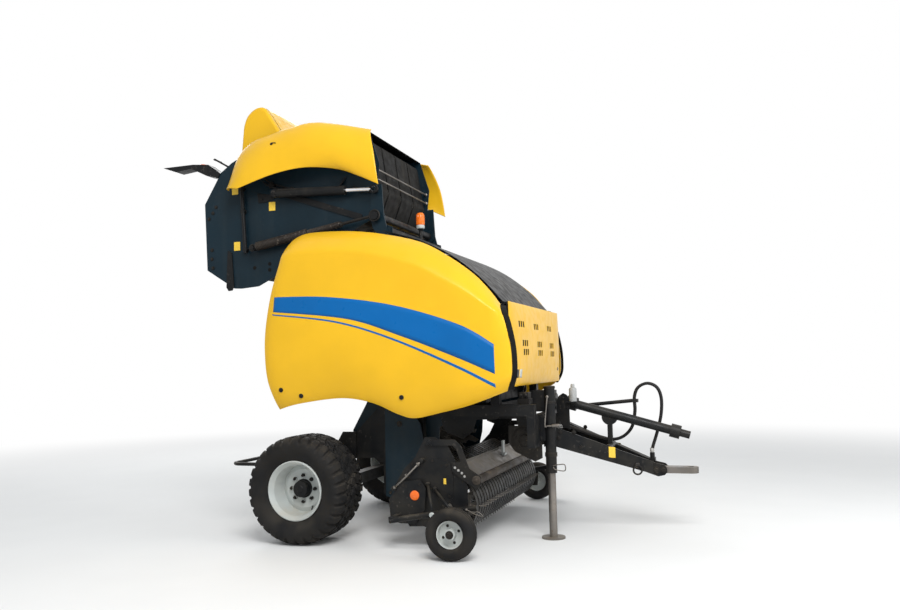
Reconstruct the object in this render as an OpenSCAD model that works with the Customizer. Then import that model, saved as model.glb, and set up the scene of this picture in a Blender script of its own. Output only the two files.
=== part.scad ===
// Round baler with a belt chamber, shown with its tailgate raised and parked on its jack.
// Machine frame: +X forward to the hitch, +Y to the left, +Z up, x = 0 over the axle, z = 0 on the ground.

/* [Main wheels] */
// Outer radius of the main tyre
tyre_r = 432; // [400:1:450]
// Width of the main tyre
tyre_w = 480; // [400:5:500]
// Distance of each main wheel's centre from the centreline
wheel_y = 1010; // [1005:1:1100]
// Radius of the rim flange of the main wheel
rim_r = 238; // [200:1:250]
// Radius of the axle spindle
spindle_r = 40; // [30:1:50]
// Number of tread lugs round each shoulder of the main tyre
lug_count = 24; // [12:1:32]

/* [Bale chamber] */
// Half of the inside width of the chamber
chamber_half = 625; // [600:1:650]
// Thickness of the chamber's side sheets
wall_t = 6; // [4:1:8]
// Radius of the belt rollers
roller_r = 48; // [40:1:52]
// Thickness of the belts
belt_t = 7; // [5:1:9]
// Gap between neighbouring belts
belt_gap = 26; // [15:1:40]

/* [Tailgate] */
// Angle by which the tailgate stands open
gate_open = 65; // [60:1:65]
// Distance of the gate pivot ahead of the axle
pivot_x = 510; // [505:1:520]
// Height of the gate pivot
pivot_z = 2700; // [2690:1:2720]
// Radius of the pivot tube
pivot_r = 36; // [30:1:40]
// Bore of the gate cylinder
cylinder_r = 34; // [30:1:38]
// Radius of the gate cylinder's rod
rod_r = 18; // [14:1:20]

/* [Panels] */
// Thickness of the moulded outer panels
panel_t = 6; // [4:1:8]
// Outermost reach of the side shields from the centreline
shield_y = 1165; // [1150:1:1180]
// Half of the width of the front panel
front_half = 950; // [930:1:955]

/* [Pickup] */
// Radius of the circle that the tine tips run on
tine_r = 270; // [250:1:272]
// Radius of the stripper bands
band_r = 215; // [205:1:222]
// Half of the pickup's working width
pickup_half = 1020; // [1000:5:1030]
// Number of stripper bands
band_count = 27; // [20:1:32]
// Radius of the gauge wheel
gauge_r = 190; // [180:1:195]
// Width of the gauge wheel
gauge_w = 150; // [130:5:160]

/* [Drawbar] */
// Distance of the hitch eye's centre ahead of the axle
hitch_x = 3000; // [2950:5:3050]
// Height of the hitch eye
hitch_z = 470; // [450:5:500]
// Radius of the hole in the hitch eye
hitch_bore = 25; // [20:0.5:26]
// Radius of the jack's outer tube
jack_r = 38; // [34:1:42]

/* [Hidden] */

yellow = [0.98, 0.74, 0.08];
dark = [0.10, 0.11, 0.12];
slate = [0.12, 0.17, 0.21];
rubber = [0.07, 0.07, 0.08];
pale = [0.85, 0.84, 0.80];
steel = [0.62, 0.62, 0.62];
brown = [0.33, 0.25, 0.20];

seat = 0.3;
running = 0.06;
wall_out = chamber_half + wall_t;
pivot = [pivot_x, pivot_z];
mating_x = pivot_x - 5;
ear_t = 14;
ear_in = wall_out + 14;
ear_out = ear_in + ear_t;
link_y = ear_out + 40;

// Turns a point of the closed gate about the pivot to where it stands when the gate is open
function raised(p) = let (d = p - pivot, c = cos(gate_open), s = sin(gate_open))
    pivot + [c * d[0] + s * d[1], c * d[1] - s * d[0]];

rod_pin = pivot + [0, 230];
cylinder_pin = [-145, 1946];
spring_pin = [184, 1528];
lamp_tip = [-1000, 972];
rear_reach = raised(lamp_tip)[0];
front_reach = hitch_x + hitch_bore + 35;
origin_x = (rear_reach + front_reach) / 2;

// Value on a smooth curve through the points, t from 0 to 1
function curve(pts, t) = let (n = len(pts) - 1, s = min(max(t, 0), 1) * n, i = min(floor(s), n - 1), f = s - i,
    a = pts[max(i - 1, 0)], b = pts[i], c = pts[i + 1], d = pts[min(i + 2, n)])
    0.5 * ((2 * b) + (c - a) * f + (2 * a - 5 * b + 4 * c - d) * f * f + (3 * b - a - 3 * c + d) * f * f * f);

// Point of the patch that four edge curves span
function patch(top, low, rear, fore, u, v) = (1 - v) * curve(top, u) + v * curve(low, u)
    + (1 - u) * curve(rear, v) + u * curve(fore, v)
    - (1 - u) * (1 - v) * top[0] - u * (1 - v) * top[len(top) - 1]
    - (1 - u) * v * low[0] - u * v * low[len(low) - 1];

function grid_normal(g, i, j) = let (a = g[min(i + 1, len(g) - 1)][j] - g[max(i - 1, 0)][j],
    b = g[i][min(j + 1, len(g[0]) - 1)] - g[i][max(j - 1, 0)], c = cross(b, a)) c / norm(c);

// Closed sheet of thickness t behind a grid of surface points
module skin(g, t) {
    n = len(g);
    m = len(g[0]);
    back = [for (i = [0:n - 1]) [for (j = [0:m - 1]) g[i][j] - t * grid_normal(g, i, j)]];
    pts = concat([for (r = g) each r], [for (r = back) each r]);
    k = n * m;
    front_faces = [for (i = [0:n - 2], j = [0:m - 2]) each [
        [i * m + j, i * m + j + 1, (i + 1) * m + j + 1], [i * m + j, (i + 1) * m + j + 1, (i + 1) * m + j]]];
    back_faces = [for (f = front_faces) [f[0] + k, f[2] + k, f[1] + k]];
    rim = concat([for (i = [0:n - 1]) i * m], [for (j = [1:m - 1]) (n - 1) * m + j],
        [for (i = [n - 2:-1:0]) i * m + m - 1], [for (j = [m - 2:-1:1]) j]);
    q = len(rim);
    edge_faces = [for (i = [0:q - 1]) each [
        [rim[i], rim[(i + 1) % q], rim[(i + 1) % q] + k], [rim[i], rim[(i + 1) % q] + k, rim[i] + k]]];
    polyhedron(points = pts, faces = [for (f = concat(front_faces, back_faces, edge_faces)) [f[0], f[2], f[1]]]);
}

// Round tube swept along a smooth route through the points
module hose(pts, r, rings, sides = 8) {
    path = [for (i = [0:rings]) curve(pts, i / rings)];
    ring = [for (i = [0:rings]) let (
        t = path[min(i + 1, rings)] - path[max(i - 1, 0)],
        n = cross(t, [0.13, 1, 0.07]) / norm(cross(t, [0.13, 1, 0.07])),
        b = cross(n, t) / norm(t))
        [for (a = [0:sides - 1]) path[i] + r * (cos(a * 360 / sides) * n + sin(a * 360 / sides) * b)]];
    faces = concat([[for (a = [sides - 1:-1:0]) a]], [[for (a = [0:sides - 1]) rings * sides + a]],
        [for (i = [0:rings - 1], a = [0:sides - 1]) let (d = (a + 1) % sides) each [
            [i * sides + a, i * sides + d, (i + 1) * sides + d],
            [i * sides + a, (i + 1) * sides + d, (i + 1) * sides + a]]]);
    polyhedron(points = [for (g = ring) each g], faces = faces);
}

// Plate cut to an outline in the x-z plane, from y0 to y1
module plate(outline, y0, y1) translate([0, y1, 0]) rotate([90, 0, 0]) linear_extrude(y1 - y0) polygon(outline);
// Bar across the machine, round, at x and z
module bar(p, r, y0, y1, n = 32) translate([p[0], y0, p[1]]) rotate([-90, 0, 0]) cylinder(r = r, h = y1 - y0, $fn = n);
module block(x0, x1, y0, y1, z0, z1) translate([x0, y0, z0]) cube([x1 - x0, y1 - y0, z1 - z0]);
// Round bar between two points of one x-z plane at y
module rung(a, b, y, r) let (d = b - a) translate([a[0], y, a[1]])
    rotate([0, 90 - atan2(d[1], d[0]), 0]) cylinder(r = r, h = norm(d), $fn = 24);
// Flat link between two points of one x-z plane, with round ends
module link(a, b, y0, y1, r) {
    d = (b - a) / norm(b - a);
    s = [-d[1], d[0]] * r;
    plate([a + s, b + s, b - s, a - s], y0, y1);
    bar(a, r, y0, y1);
    bar(b, r, y0, y1);
}
module both() { children(); mirror([0, 1, 0]) children(); }
module opened() translate([pivot[0], 0, pivot[1]]) rotate([0, gate_open, 0]) translate([-pivot[0], 0, -pivot[1]]) children();

// Main wheels
module tyre() {
    h = tyre_w / 2;
    translate([0, 0, tyre_r]) rotate([90, 0, 0]) difference() {
        rotate_extrude($fn = 96) polygon([[rim_r - 22, -h + 70], [rim_r + 6, -h + 46], [rim_r + 60, -h + 12],
            [tyre_r - 90, -h], [tyre_r - 40, -h + 10], [tyre_r - 12, -h + 50], [tyre_r, -h + 110], [tyre_r, h - 110],
            [tyre_r - 12, h - 50], [tyre_r - 40, h - 10], [tyre_r - 90, h], [rim_r + 60, h - 12],
            [rim_r + 6, h - 46], [rim_r - 22, h - 70]]);
        for (i = [0:lug_count - 1], s = [-1, 1]) rotate([0, 0, (i + s / 4) * 360 / lug_count])
            translate([tyre_r - 26, 0, s * h]) rotate([s * 28, 0, 0]) cube([60, 24, 210], center = true);
    }
}
module rim() {
    h = tyre_w / 2;
    translate([0, 0, tyre_r]) rotate([90, 0, 0]) {
        rotate_extrude($fn = 96) polygon([[rim_r - 22 - seat, -h + 69], [rim_r, -h + 50], [rim_r, -h + 38], [rim_r - 8, -h + 34],
            [rim_r - 34, -h + 76], [rim_r - 50, -40], [rim_r - 50, 10], [150, 26], [60, 26], [60, 40], [156, 40],
            [rim_r - 50, 26], [rim_r - 34, h - 76], [rim_r - 8, h - 34], [rim_r, h - 38], [rim_r, h - 50],
            [rim_r - 22 - seat, h - 69], [rim_r - 42, 40], [rim_r - 42, -40]]);
        for (i = [0:7]) rotate([0, 0, i * 45]) translate([100, 0, 39]) cylinder(r = 14, h = 22, $fn = 6);
        difference() {
            union() {
                translate([0, 0, -hub_len]) cylinder(r = 72, h = hub_len + 40, $fn = 48);
                translate([0, 0, 39]) cylinder(r = 56, h = 64, $fn = 48);
            }
            translate([0, 0, -hub_len - 1]) cylinder(r = spindle_r + running, h = hub_len + 31, $fn = 48);
        }
    }
}
module tyre_right() color(rubber) translate([0, -wheel_y, 0]) tyre();
module tyre_left() color(rubber) mirror([0, 1, 0]) translate([0, -wheel_y, 0]) tyre();
module rim_right() color(pale) translate([0, -wheel_y, 0]) rim();
module rim_left() color(pale) mirror([0, 1, 0]) translate([0, -wheel_y, 0]) rim();

// Axle beam, its spindles and the brackets that carry the chamber
axle_z = tyre_r;
hub_len = 130;
ramp_axis = [-130, 560];
ramp_r = 20;
axle_end = wall_out + 104;
ramp_y = wall_out - 31;
module axle() color(dark) {
    block(-50, 50, -axle_end + 15, axle_end - 15, axle_z - 100, axle_z);
    both() {
        block(-60, 60, axle_end - 95, axle_end, axle_z - 110, axle_z + 60);
        bar([0, axle_z], 58, axle_end - 1, wheel_y - hub_len - 5, 48);
        bar([0, axle_z], spindle_r, wheel_y - hub_len - 6, wheel_y + 25, 48);
        plate([[-60, axle_z + 20], [60, axle_z + 20], [300, 640], [300, 860], [180, 860]],
            sill_y0 + 40 + seat, sill_y0 + 58);
        difference() {
            plate([[-60, axle_z], [50, axle_z], [50, 490], [-95, 600], [-165, 600], [-165, 520]],
                wall_out + 15, wall_out + 33);
            bar(ramp_axis, ramp_r + running, wall_out + 9, wall_out + 39);
        }
    }
}

// Chassis: side sills, headstock, cheeks and the posts beside the rotor
sill_y0 = wall_out + seat;
sill_y1 = wall_out + 90;
sill_z0 = 990;
sill_z1 = 1080;
head_x0 = 1800;
head_x1 = 1860;
head_z0 = 740;
rotor = [775, 765];
rotor_r = 255;
rotor_shaft = 30;
rotor_half = chamber_half - 85;
boss_r = 60;
arm_y0 = sill_y0 + 76;
arm_y1 = arm_y0 + 24;
module chassis() color(dark) {
    both() {
        block(520, head_x1, sill_y0, sill_y1, sill_z0, sill_z1);
        difference() {
            union() {
                plate([[560, 350], [600, 330], [800, 340], [820, 500], [920, 700], [920, 991], [600, 991], [560, 700]],
                    sill_y0, sill_y0 + 70);
                bar(rotor, boss_r, sill_y0 + 60, arm_y1 + 4, 48);
            }
            bar(rotor, rotor_shaft + running, sill_y0 - 1, arm_y1 + 5, 48);
        }
        plate([[300, 640], [300, 860], [520, 1079], [600, 1079], [600, 640]], sill_y0 + 20, sill_y0 + 40);
        plate([[1400, 991], [1400, 955], [1660, 955], [1700, 760], [head_x0 + 1, 760], [head_x0 + 1, 991]], 480, 500);
    }
    block(head_x0, head_x1, -sill_y1, sill_y1, head_z0, sill_z0);
    block(1472, 1492, -sill_y0 - 5, sill_y0 + 5, sill_z0 + 1, sill_z1 - 1);
}

// Covers over the rotor's drives, on posts from the sills and cheeks
cover_y = arm_y1 + 17;
cover_edge = [[600, 1085], [821, 1062], [847, 1029], [915, 930], [939, 801], [925, 660], [890, 557], [835, 435],
    [726, 311], [600, 339]];
module side_covers() color(slate) both() {
    plate(cover_edge, cover_y, cover_y + 5);
    for (x = [650, 790]) bar([x, 1035], 12, sill_y1 + seat, cover_y + 1);
    bar([640, 370], 12, sill_y0 + 70 + seat, cover_y + 1);
}

// Side sheets of the fixed half, with the ears that carry the gate
shield_axis = [930, 2450];
shield_hinges = [560, 720];
hinge_r = 8;
module bar_x(y, z, r, x0, x1) translate([x0, y, z]) rotate([0, 90, 0]) cylinder(r = r, h = x1 - x0, $fn = 32);
module side_wall() {
    difference() {
        plate([[mating_x + 10, 2610], [600, 2620], [648, 2602], [650, 2523], [800, 2478], [900, 2445], [960, 2425],
            [1200, 2270], [1400, 1980], [1460, 1680],
            [1460, 1180], [1420, 1000], [1250, 985], [1040, 900], [1030, 760], [1000, 640], [930, 545], [830, 500],
            [800, 340], [560, 340], [560, 640], [270, 640], [250, 870], [370, 1080], [450, 1230], [mating_x + 10, 1400]],
            -wall_out, -chamber_half);
        bar(rotor, rotor_shaft + running, -wall_out - 1, -chamber_half + 1, 48);
    }
    difference() {
        plate([[mating_x - 30, 2600], [mating_x + 60, 2480], [mating_x + 130, 2480], [mating_x + 75, 2700],
            [mating_x + 60, 2975], [mating_x - 30, 2975], [mating_x - 55, 2720]], -ear_out, -ear_in);
        bar(pivot, pivot_r + running, -ear_out - 1, -ear_in + 1, 48);
    }
    block(mating_x + 60, mating_x + 129, -ear_in - 1, -wall_out + 1, 2490, 2600);
    plate([[900, 2444], [960, 2424], [1200, 2269], [1400, 1979], [1459, 1680], [1459, 1180], [1430, 1180], [1430, 1674],
        [1373, 1964], [1180, 2245], [945, 2397], [890, 2416]], -wall_out - 40, -wall_out + 1);
    for (x = shield_hinges) {
        block(x - 20, x + 20, -shield_axis[0] + 15, -wall_out + 1, 2330, 2350);
        block(x - 20, x + 20, -shield_axis[0] + 14, -shield_axis[0] + 34, 2330, shield_axis[1] + 10);
        block(x - 20, x + 20, -shield_axis[0] - 8, -shield_axis[0] + 20, shield_axis[1] - 10, shield_axis[1] + 10);
        bar_x(-shield_axis[0], shield_axis[1], hinge_r, x + 19, x + 70);
    }
}
module side_wall_right() color(slate) side_wall();
module side_wall_left() color(slate) mirror([0, 1, 0]) side_wall();

// Sheets and beams between the side walls
inner = chamber_half - seat;
beam_z1 = 2590;
module cross_sheets() color(dark) {
    block(1404, 1410, -inner, inner, 1090, 1940);
    block(585, 645, -inner, inner, beam_z1 - 60, beam_z1);
    block(300, 360, -inner, inner, 660, 720);
}

// Drawbar: two channels that meet at the nose
bar_x0 = head_x1 + seat;
nose_x0 = hitch_x - 360;
nose_x1 = hitch_x - 190;
nose_y = 62;
nose_bolts = [hitch_x - 275, hitch_x - 215];
// Half width of the drawbar at its root and at its nose
bar_root_y = 345;
bar_nose_y = 94;
bar_yaw = atan2(bar_root_y - bar_nose_y, nose_x0 + 48 - bar_x0);
bar_len = (nose_x0 + 48 - bar_x0) / cos(bar_yaw);
channel_x0 = bar_x0 + 60 * sin(bar_yaw) + 1;
cradle_x = (bar_x0 + nose_x0) / 2 + 100;
cradle_y = bar_root_y - (cradle_x - channel_x0) * tan(bar_yaw) - 10;
module channel() difference() {
    plate([[0, 735], [0, 900], [bar_len, 575], [bar_len, 475]], 0, 60);
    plate([[-1, 745], [-1, 889], [bar_len + 1, 565], [bar_len + 1, 485]], 10, 61);
}
module drawbar() color(dark) {
    both() translate([channel_x0, -bar_root_y, 0]) rotate([0, 0, bar_yaw]) channel();
    block(bar_x0, bar_x0 + 15, -bar_root_y - 45, bar_root_y + 45, 720, 915);
    both() difference() {
        plate([[nose_x0, 490], [nose_x0, 585], [nose_x0 + 100, 560], [nose_x1 - 18, 548], [nose_x1, 530],
            [nose_x1, 484], [nose_x1 - 18, 466], [nose_x0 + 100, 455]], -nose_y - 14, -nose_y + 2);
        for (x = nose_bolts) bar([x, 508], 10, -nose_y - 15, -nose_y + 3);
    }
    block(nose_x0 + 10, nose_x0 + 60, -nose_y, nose_y, 495, 570);
    bar([cradle_x, 690], 28, -cradle_y, cradle_y);
    block(cradle_x - 20, cradle_x + 20, -20, 20, 700, cradle_z - 50);
    difference() {
        bar([cradle_x, cradle_z - 30], 66, -20, 20, 48);
        translate([cradle_x, 0, cradle_z]) rotate([0, 90 + shaft_tilt, 0])
            cylinder(r = guard_r + seat, h = 200, center = true, $fn = 48);
        block(cradle_x - 150, cradle_x + 150, -30, 30, cradle_z, cradle_z + 200);
    }
    // Holder of the parked hoses
    block(nose_x0 + 20, nose_x0 + 70, nose_y - 22, park_y + hose_pitch + 24, 560, park_z);
    difference() {
        for (s = [-1, 1]) translate([park_x, park_y + s * hose_pitch / 2, park_z - 1]) cylinder(r = hose_r + 6, h = 42, $fn = 32);
        for (s = [-1, 1]) translate([park_x, park_y + s * hose_pitch / 2, park_z]) cylinder(r = hose_r + 1, h = 42, $fn = 32);
    }
}
module hitch_eye() color(steel) {
    difference() {
        union() {
            block(nose_x0 + 61, hitch_x, -nose_y + 2 + seat, nose_y - 2 - seat, hitch_z + 10, hitch_z + 60);
            translate([hitch_x, 0, hitch_z + 10]) cylinder(r = hitch_bore + 35, h = 50, $fn = 64);
        }
        translate([hitch_x, 0, hitch_z]) cylinder(r = hitch_bore, h = 70, $fn = 64);
    }
    for (x = nose_bolts) bar([x, 508], 10 - seat, -nose_y - 30, nose_y + 30);
}

// Gearbox and the drive shaft that lies in its cradle
box_z = 1075;
shaft_a = [1985, 1068];
shaft_b = [hitch_x - 65, 805];
shaft_tilt = atan2(shaft_a[1] - shaft_b[1], shaft_b[0] - shaft_a[0]);
guard_r = 38;
yoke_bore = 17.5;
function shaft_z(x) = shaft_a[1] - (x - shaft_a[0]) * tan(shaft_tilt);
cradle_z = shaft_z(cradle_x);
module gearbox() color(dark) {
    block(1690, 1880, -100, 100, sill_z0 + seat, 1170);
    bar_x(0, box_z, 70, 1875, 1900);
    bar_x(0, box_z, 24, 1899, 1950);
}
module along_shaft() translate([shaft_a[0], 0, shaft_a[1]]) rotate([0, 90 + shaft_tilt, 0]) children();
shaft_len = norm(shaft_b - shaft_a);
module drive_shaft() color(dark) {
    bar_x(0, box_z, 34, 1950 + seat, 1990);
    along_shaft() {
        translate([0, 0, 4]) cylinder(r = 58, h = 90, $fn = 48);
        translate([0, 0, 90]) cylinder(r = guard_r, h = shaft_len - 170, $fn = 48);
        translate([0, 0, shaft_len - 90]) cylinder(r = 56, h = 80, $fn = 48);
        difference() {
            translate([0, 0, shaft_len - 12]) cylinder(r = 32, h = 82, $fn = 48);
            translate([0, 0, shaft_len + 10]) cylinder(r = yoke_bore, h = 61, $fn = 48);
        }
    }
}

// Hose arm with its guide, and the two hoses, parked in their holder on the nose
arm_y = 118;
guide_x = nose_x0 - 90;
arm_low = [head_x1 - 14, 1006];
arm_tip = [guide_x - 22, 1068];
hose_r = 13;
hose_pitch = 30;
park_x = nose_x0 + 45;
park_y = 80;
park_z = 592;
// Route of the hoses in the x-z plane with its distance from the centreline: x, y, z
hose_route = [[bar_x0 + 15 + seat, arm_y, 850], [bar_x0 + 60, arm_y, 850], [1975, arm_y, 846], [2060, arm_y, 820], [2220, arm_y, 766],
    [cradle_x, arm_y, 738], [guide_x - 100, arm_y, 768], [guide_x - 28, arm_y, 850], [guide_x, arm_y, 980],
    [guide_x, arm_y, 1100], [guide_x + 34, arm_y, 1180], [guide_x + 112, arm_y, 1214], [guide_x + 190, arm_y - 6, 1180],
    [guide_x + 224, arm_y - 12, 1090], [guide_x + 218, arm_y - 22, 950], [guide_x + 180, arm_y - 32, 800],
    [park_x + 12, park_y + 1, 700], [park_x, park_y, 650], [park_x, park_y, 620], [park_x, park_y, park_z + 1]];
module hose_arm() color(dark) {
    block(head_x1 - 50, head_x1 - 4, arm_y - 14, arm_y + 44, sill_z0 + seat, 1040);
    rung(arm_low, arm_tip, arm_y, 16);
    difference() {
        block(guide_x - 26, guide_x + 30, arm_y - 36, arm_y + 36, arm_tip[1] - 14, arm_tip[1] + 14);
        for (s = [-1, 1]) translate([guide_x, arm_y + s * hose_pitch / 2, arm_tip[1] - 20])
            cylinder(r = hose_r + 5, h = 40, $fn = 32);
    }
}
module free_hose(s) hose([for (p = hose_route) p + [0, s * hose_pitch / 2, 0]], hose_r, 38, 8);
module hose_right() color(rubber) free_hose(-1);
module hose_left() color(rubber) free_hose(1);

// Parking jack
jack = [1935, -470];
jack_top = 1200;
jack_leg_r = jack_r - 6;
module jack_tube() color(dark) {
    difference() {
        translate([jack[0], jack[1], 520]) cylinder(r = jack_r + 6, h = jack_top - 520, $fn = 48);
        translate([jack[0], jack[1], 519]) cylinder(r = jack_leg_r + running, h = jack_top - 520 - 20, $fn = 48);
    }
    block(head_x1 + seat, jack[0] - jack_leg_r - 2, jack[1] - 40, jack[1] + 40, 780, 970);
}
module jack_leg() color(steel) {
    translate([jack[0], jack[1], 12]) cylinder(r = jack_leg_r, h = 700, $fn = 48);
    translate([jack[0], jack[1], 0]) cylinder(r = 95, h = 14, $fn = 48);
}

// Rotor, its floor, and the fixed rollers and belts
module feed_rotor() color(steel) {
    bar(rotor, rotor_shaft, -arm_y1 - 8, arm_y1 + 8, 48);
    bar(rotor, 90, -rotor_half - 30, rotor_half + 30, 48);
    for (i = [0:12]) let (y = rotor_half * (i - 6) / 6) for (a = [0:3])
        translate([rotor[0], 0, rotor[1]]) rotate([0, a * 90 + i * 24, 0]) translate([-rotor[0], 0, -rotor[1]])
            plate([rotor + [-40, 70], rotor + [40, 70], rotor + [30, rotor_r - 20], rotor + [-5, rotor_r]], y - 4, y + 4);
}
function arc(c, r, a0, a1, n) = [for (i = [0:n]) c + r * [cos(a0 + (a1 - a0) * i / n), sin(a0 + (a1 - a0) * i / n)]];
module feed_floor() color(steel)
    plate(concat(arc(rotor, rotor_r + 7, 220, 318, 14), arc(rotor, rotor_r + 12, 318, 220, 14)), -inner, inner);
front_ring = [[650, 2430], [1060, 2290], [1310, 1930], [1345, 1480], [1180, 1110]];
module roller(p, r = roller_r) bar(p, r, -inner + 0, inner, 40);
module chamber_rollers() color(steel) {
    for (p = front_ring) roller(p);
    roller([1130, 985], roller_r);
    roller([430, 1010], roller_r);
}
module belt_loop(ring) {
    slots = 3;
    belt_w = (2 * inner - 40 - slots * belt_gap) / (slots + 1);
    difference() {
        rotate([90, 0, 0]) linear_extrude(2 * inner - 40, center = true) difference() {
            hull() for (p = ring) translate(p) circle(roller_r + seat + belt_t, $fn = 40);
            hull() for (p = ring) translate(p) circle(roller_r + seat, $fn = 40);
        }
        for (i = [1:slots]) let (y = -inner + 20 + i * (belt_w + belt_gap) - belt_gap)
            block(-2000, 2000, y, y + belt_gap, 500, 3500);
    }
}
module front_belts() color(rubber) belt_loop(front_ring);

// Net box behind the front panel
box_x0 = 1466;
box_x1 = 1690;
box_y = 900;
box_z0 = 1225;
box_z1 = 1885;
module net_box() color(dark) {
    block(box_x0, box_x0 + 5, -box_y, box_y, box_z0, box_z1);
    block(box_x0, box_x1, -box_y, box_y, box_z0, box_z0 + 5);
    block(box_x0, box_x1, -box_y, box_y, box_z1 - 5, box_z1);
    both() block(box_x0, box_x1, box_y - 5, box_y, box_z0, box_z1);
    both() block(box_x0 + 40, box_x0 + 110, sill_y0 + 5, sill_y1 - 5, sill_z1 + seat, box_z0 + 1);
    both() block(1674, front_axis[0] + 10, 746, 766, box_z1 - 1, front_axis[1] + 10);
    both() bar(front_axis, hinge_r, 690, 766);
    bar([1580, 1500], 105, -620, 620, 64);
    bar([1580, 1500], 20, -box_y + 1, box_y - 1, 32);
}
cover_line = [[660, 2535], [960, 2440], [1240, 2300], [1480, 2110], [1670, 1900]];
module top_cover() color(dark) {
    n = 16;
    top = [for (i = [0:n]) curve(cover_line, i / n)];
    plate(concat(top, [for (i = [n:-1:0]) top[i] - [3, 6]]), -868, 868);
}

// Front panel, hinged at its top edge
front_axis = [1704, 1894];
module front_panel() color(yellow) {
    ys = [-1, -0.985, -0.95, -0.9, -0.75, -0.5, -0.25, 0, 0.25, 0.5, 0.75, 0.9, 0.95, 0.985, 1];
    zs = [0, 0.03, 0.08, 0.16, 0.3, 0.5, 0.7, 0.85, 0.95, 1];
    skin([for (s = ys) [for (t = zs) front_at(s, t)]], panel_t);
    difference() {
        block(front_x - panel_t - seat - 14, front_x - panel_t - seat, -front_half + 8, front_half - 8, front_z0 + 8, front_z1 - 8);
        block(front_x - 60, front_x, -front_half + 60, front_half - 60, front_z0 + 60, front_z1 - 60);
    }
    both() difference() {
        union() {
            block(front_axis[0] - 12, front_x - panel_t - seat - 1, 700, 740, front_z1 - 30, front_z1 - 8);
            bar(front_axis, 12, 700, 740);
        }
        bar(front_axis, hinge_r + running, 690, 750);
    }
}
front_x = 1736;
front_z0 = 1228;
front_z1 = 1893;
function front_at(s, t) = [front_x + 42 * pow(1 - pow(abs(s), 5), 0.6) * pow(sin(180 * t), 0.5),
    s * front_half, front_z1 - t * (front_z1 - front_z0)];

// Side shields
shield_top = [[-120, 2530], [40, 2552], [370, 2540], [680, 2494], [1030, 2400], [1280, 2260], [1480, 2110], [1620, 1960], [1680, 1870]];
shield_low = [[-210, 1070], [0, 1120], [370, 1160], [640, 1120], [860, 1030], [1000, 1000], [1210, 1040], [1460, 1100], [1740, 1200]];
shield_rear = [[-120, 2530], [-152, 2330], [-237, 2060], [-290, 1800], [-308, 1570], [-285, 1300], [-210, 1070]];
shield_fore = [[1680, 1870], [1740, 1760], [1785, 1560], [1795, 1400], [1785, 1300], [1740, 1200]];
function shield_depth(u, v) = shield_y - (235 - 90 * u) * pow(max(0, 1 - v / 0.17), 1.7) - 60 * pow(max(0, (v - 0.75) / 0.25), 2)
    - 40 * pow(max(0, (u - 0.88) / 0.12), 2) - 30 * pow(max(0, 1 - u / 0.1), 2) - 14 * pow(2 * v - 1, 2);
// Point of a shield, whose fore edge is cut back by the given length
function shield_at(u, v, cut) = let (p = patch(shield_top, shield_low, shield_rear, shield_fore, u, v))
    [p[0] - cut * pow(u, 8), -shield_depth(u, v), p[1]];
shield_rows = [0, 0.03, 0.07, 0.11, 0.15, 0.19, 0.3, 0.45, 0.6, 0.75, 0.85, 0.93, 1];
shield_cols = 24;
// First grid column of the stiffener that carries the hinges
stiff_col = 8;
left_cut = 70;
module shield(cut) {
    g = [for (i = [0:shield_cols]) [for (v = shield_rows) shield_at(i / shield_cols, v, cut)]];
    skin(g, panel_t);
    behind = [for (i = [stiff_col:stiff_col + 2])
        [for (j = [0:len(shield_rows) - 1]) g[i][j] - (panel_t + seat) * grid_normal(g, i, j)]];
    skin(behind, 10);
    for (k = [0, 1]) let (x = shield_hinges[k] + 26, a = behind[k][0], b = behind[k + 1][0],
        q = a + (b - a) * (x + 20 - a[0]) / (b[0] - a[0])) shield_knuckle(x, q[1] + 1.2, q[2] - 7.5);
}
module shield_knuckle(x, y0, z1) difference() {
    union() {
        bar_x(-shield_axis[0], shield_axis[1], 15, x, x + 40);
        block(x, x + 40, y0, -shield_axis[0] + 15, shield_axis[1], z1);
    }
    bar_x(-shield_axis[0], shield_axis[1], hinge_r + running, x - 1, x + 41);
}
module shield_right() color(yellow) shield(0);
module shield_left() color(yellow) mirror([0, 1, 0]) shield(left_cut);

// Chain drive of the rollers on the left side
module chain_drive() color(steel) {
    y0 = sill_y1 + 8;
    pts = [front_ring[2], front_ring[3], [1395, 1165], front_ring[4]];
    for (p = pts) bar(p, 50, y0, y0 + 12, 32);
    for (p = pts) bar(p, 20, wall_out + seat, y0 + 1, 32);
    translate([0, y0 + 10, 0]) rotate([90, 0, 0]) linear_extrude(8) difference() {
        hull() for (p = pts) translate(p) circle(62, $fn = 32);
        hull() for (p = pts) translate(p) circle(50 + seat, $fn = 32);
    }
}
beacon_at = [612, 150];
module beacon() color("orange") {
    translate([beacon_at[0], beacon_at[1], beam_z1 + seat]) cylinder(r = 28, h = 120, $fn = 32);
    translate([beacon_at[0], beacon_at[1], beam_z1 + 120]) cylinder(r = 40, h = 146, $fn = 48);
}

// Bale ramp at the rear
ramp_x = -980;
ramp_bend = 90;
module bale_ramp() color(dark) {
    both() {
        bar(ramp_axis, ramp_r, ramp_y - 20, wall_out + 37);
        rung(ramp_axis, [ramp_x + ramp_bend, ramp_axis[1]], ramp_y, 16);
        translate([ramp_x + ramp_bend, ramp_y - ramp_bend, ramp_axis[1]]) rotate([0, 0, 90])
            rotate_extrude(angle = 90, $fn = 48) translate([ramp_bend, 0]) circle(16, $fn = 24);
    }
    bar([ramp_x, ramp_axis[1]], 16, -ramp_y + ramp_bend, ramp_y - ramp_bend, 24);
    bar([-560, ramp_axis[1]], 14, -ramp_y, ramp_y);
}

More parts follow.
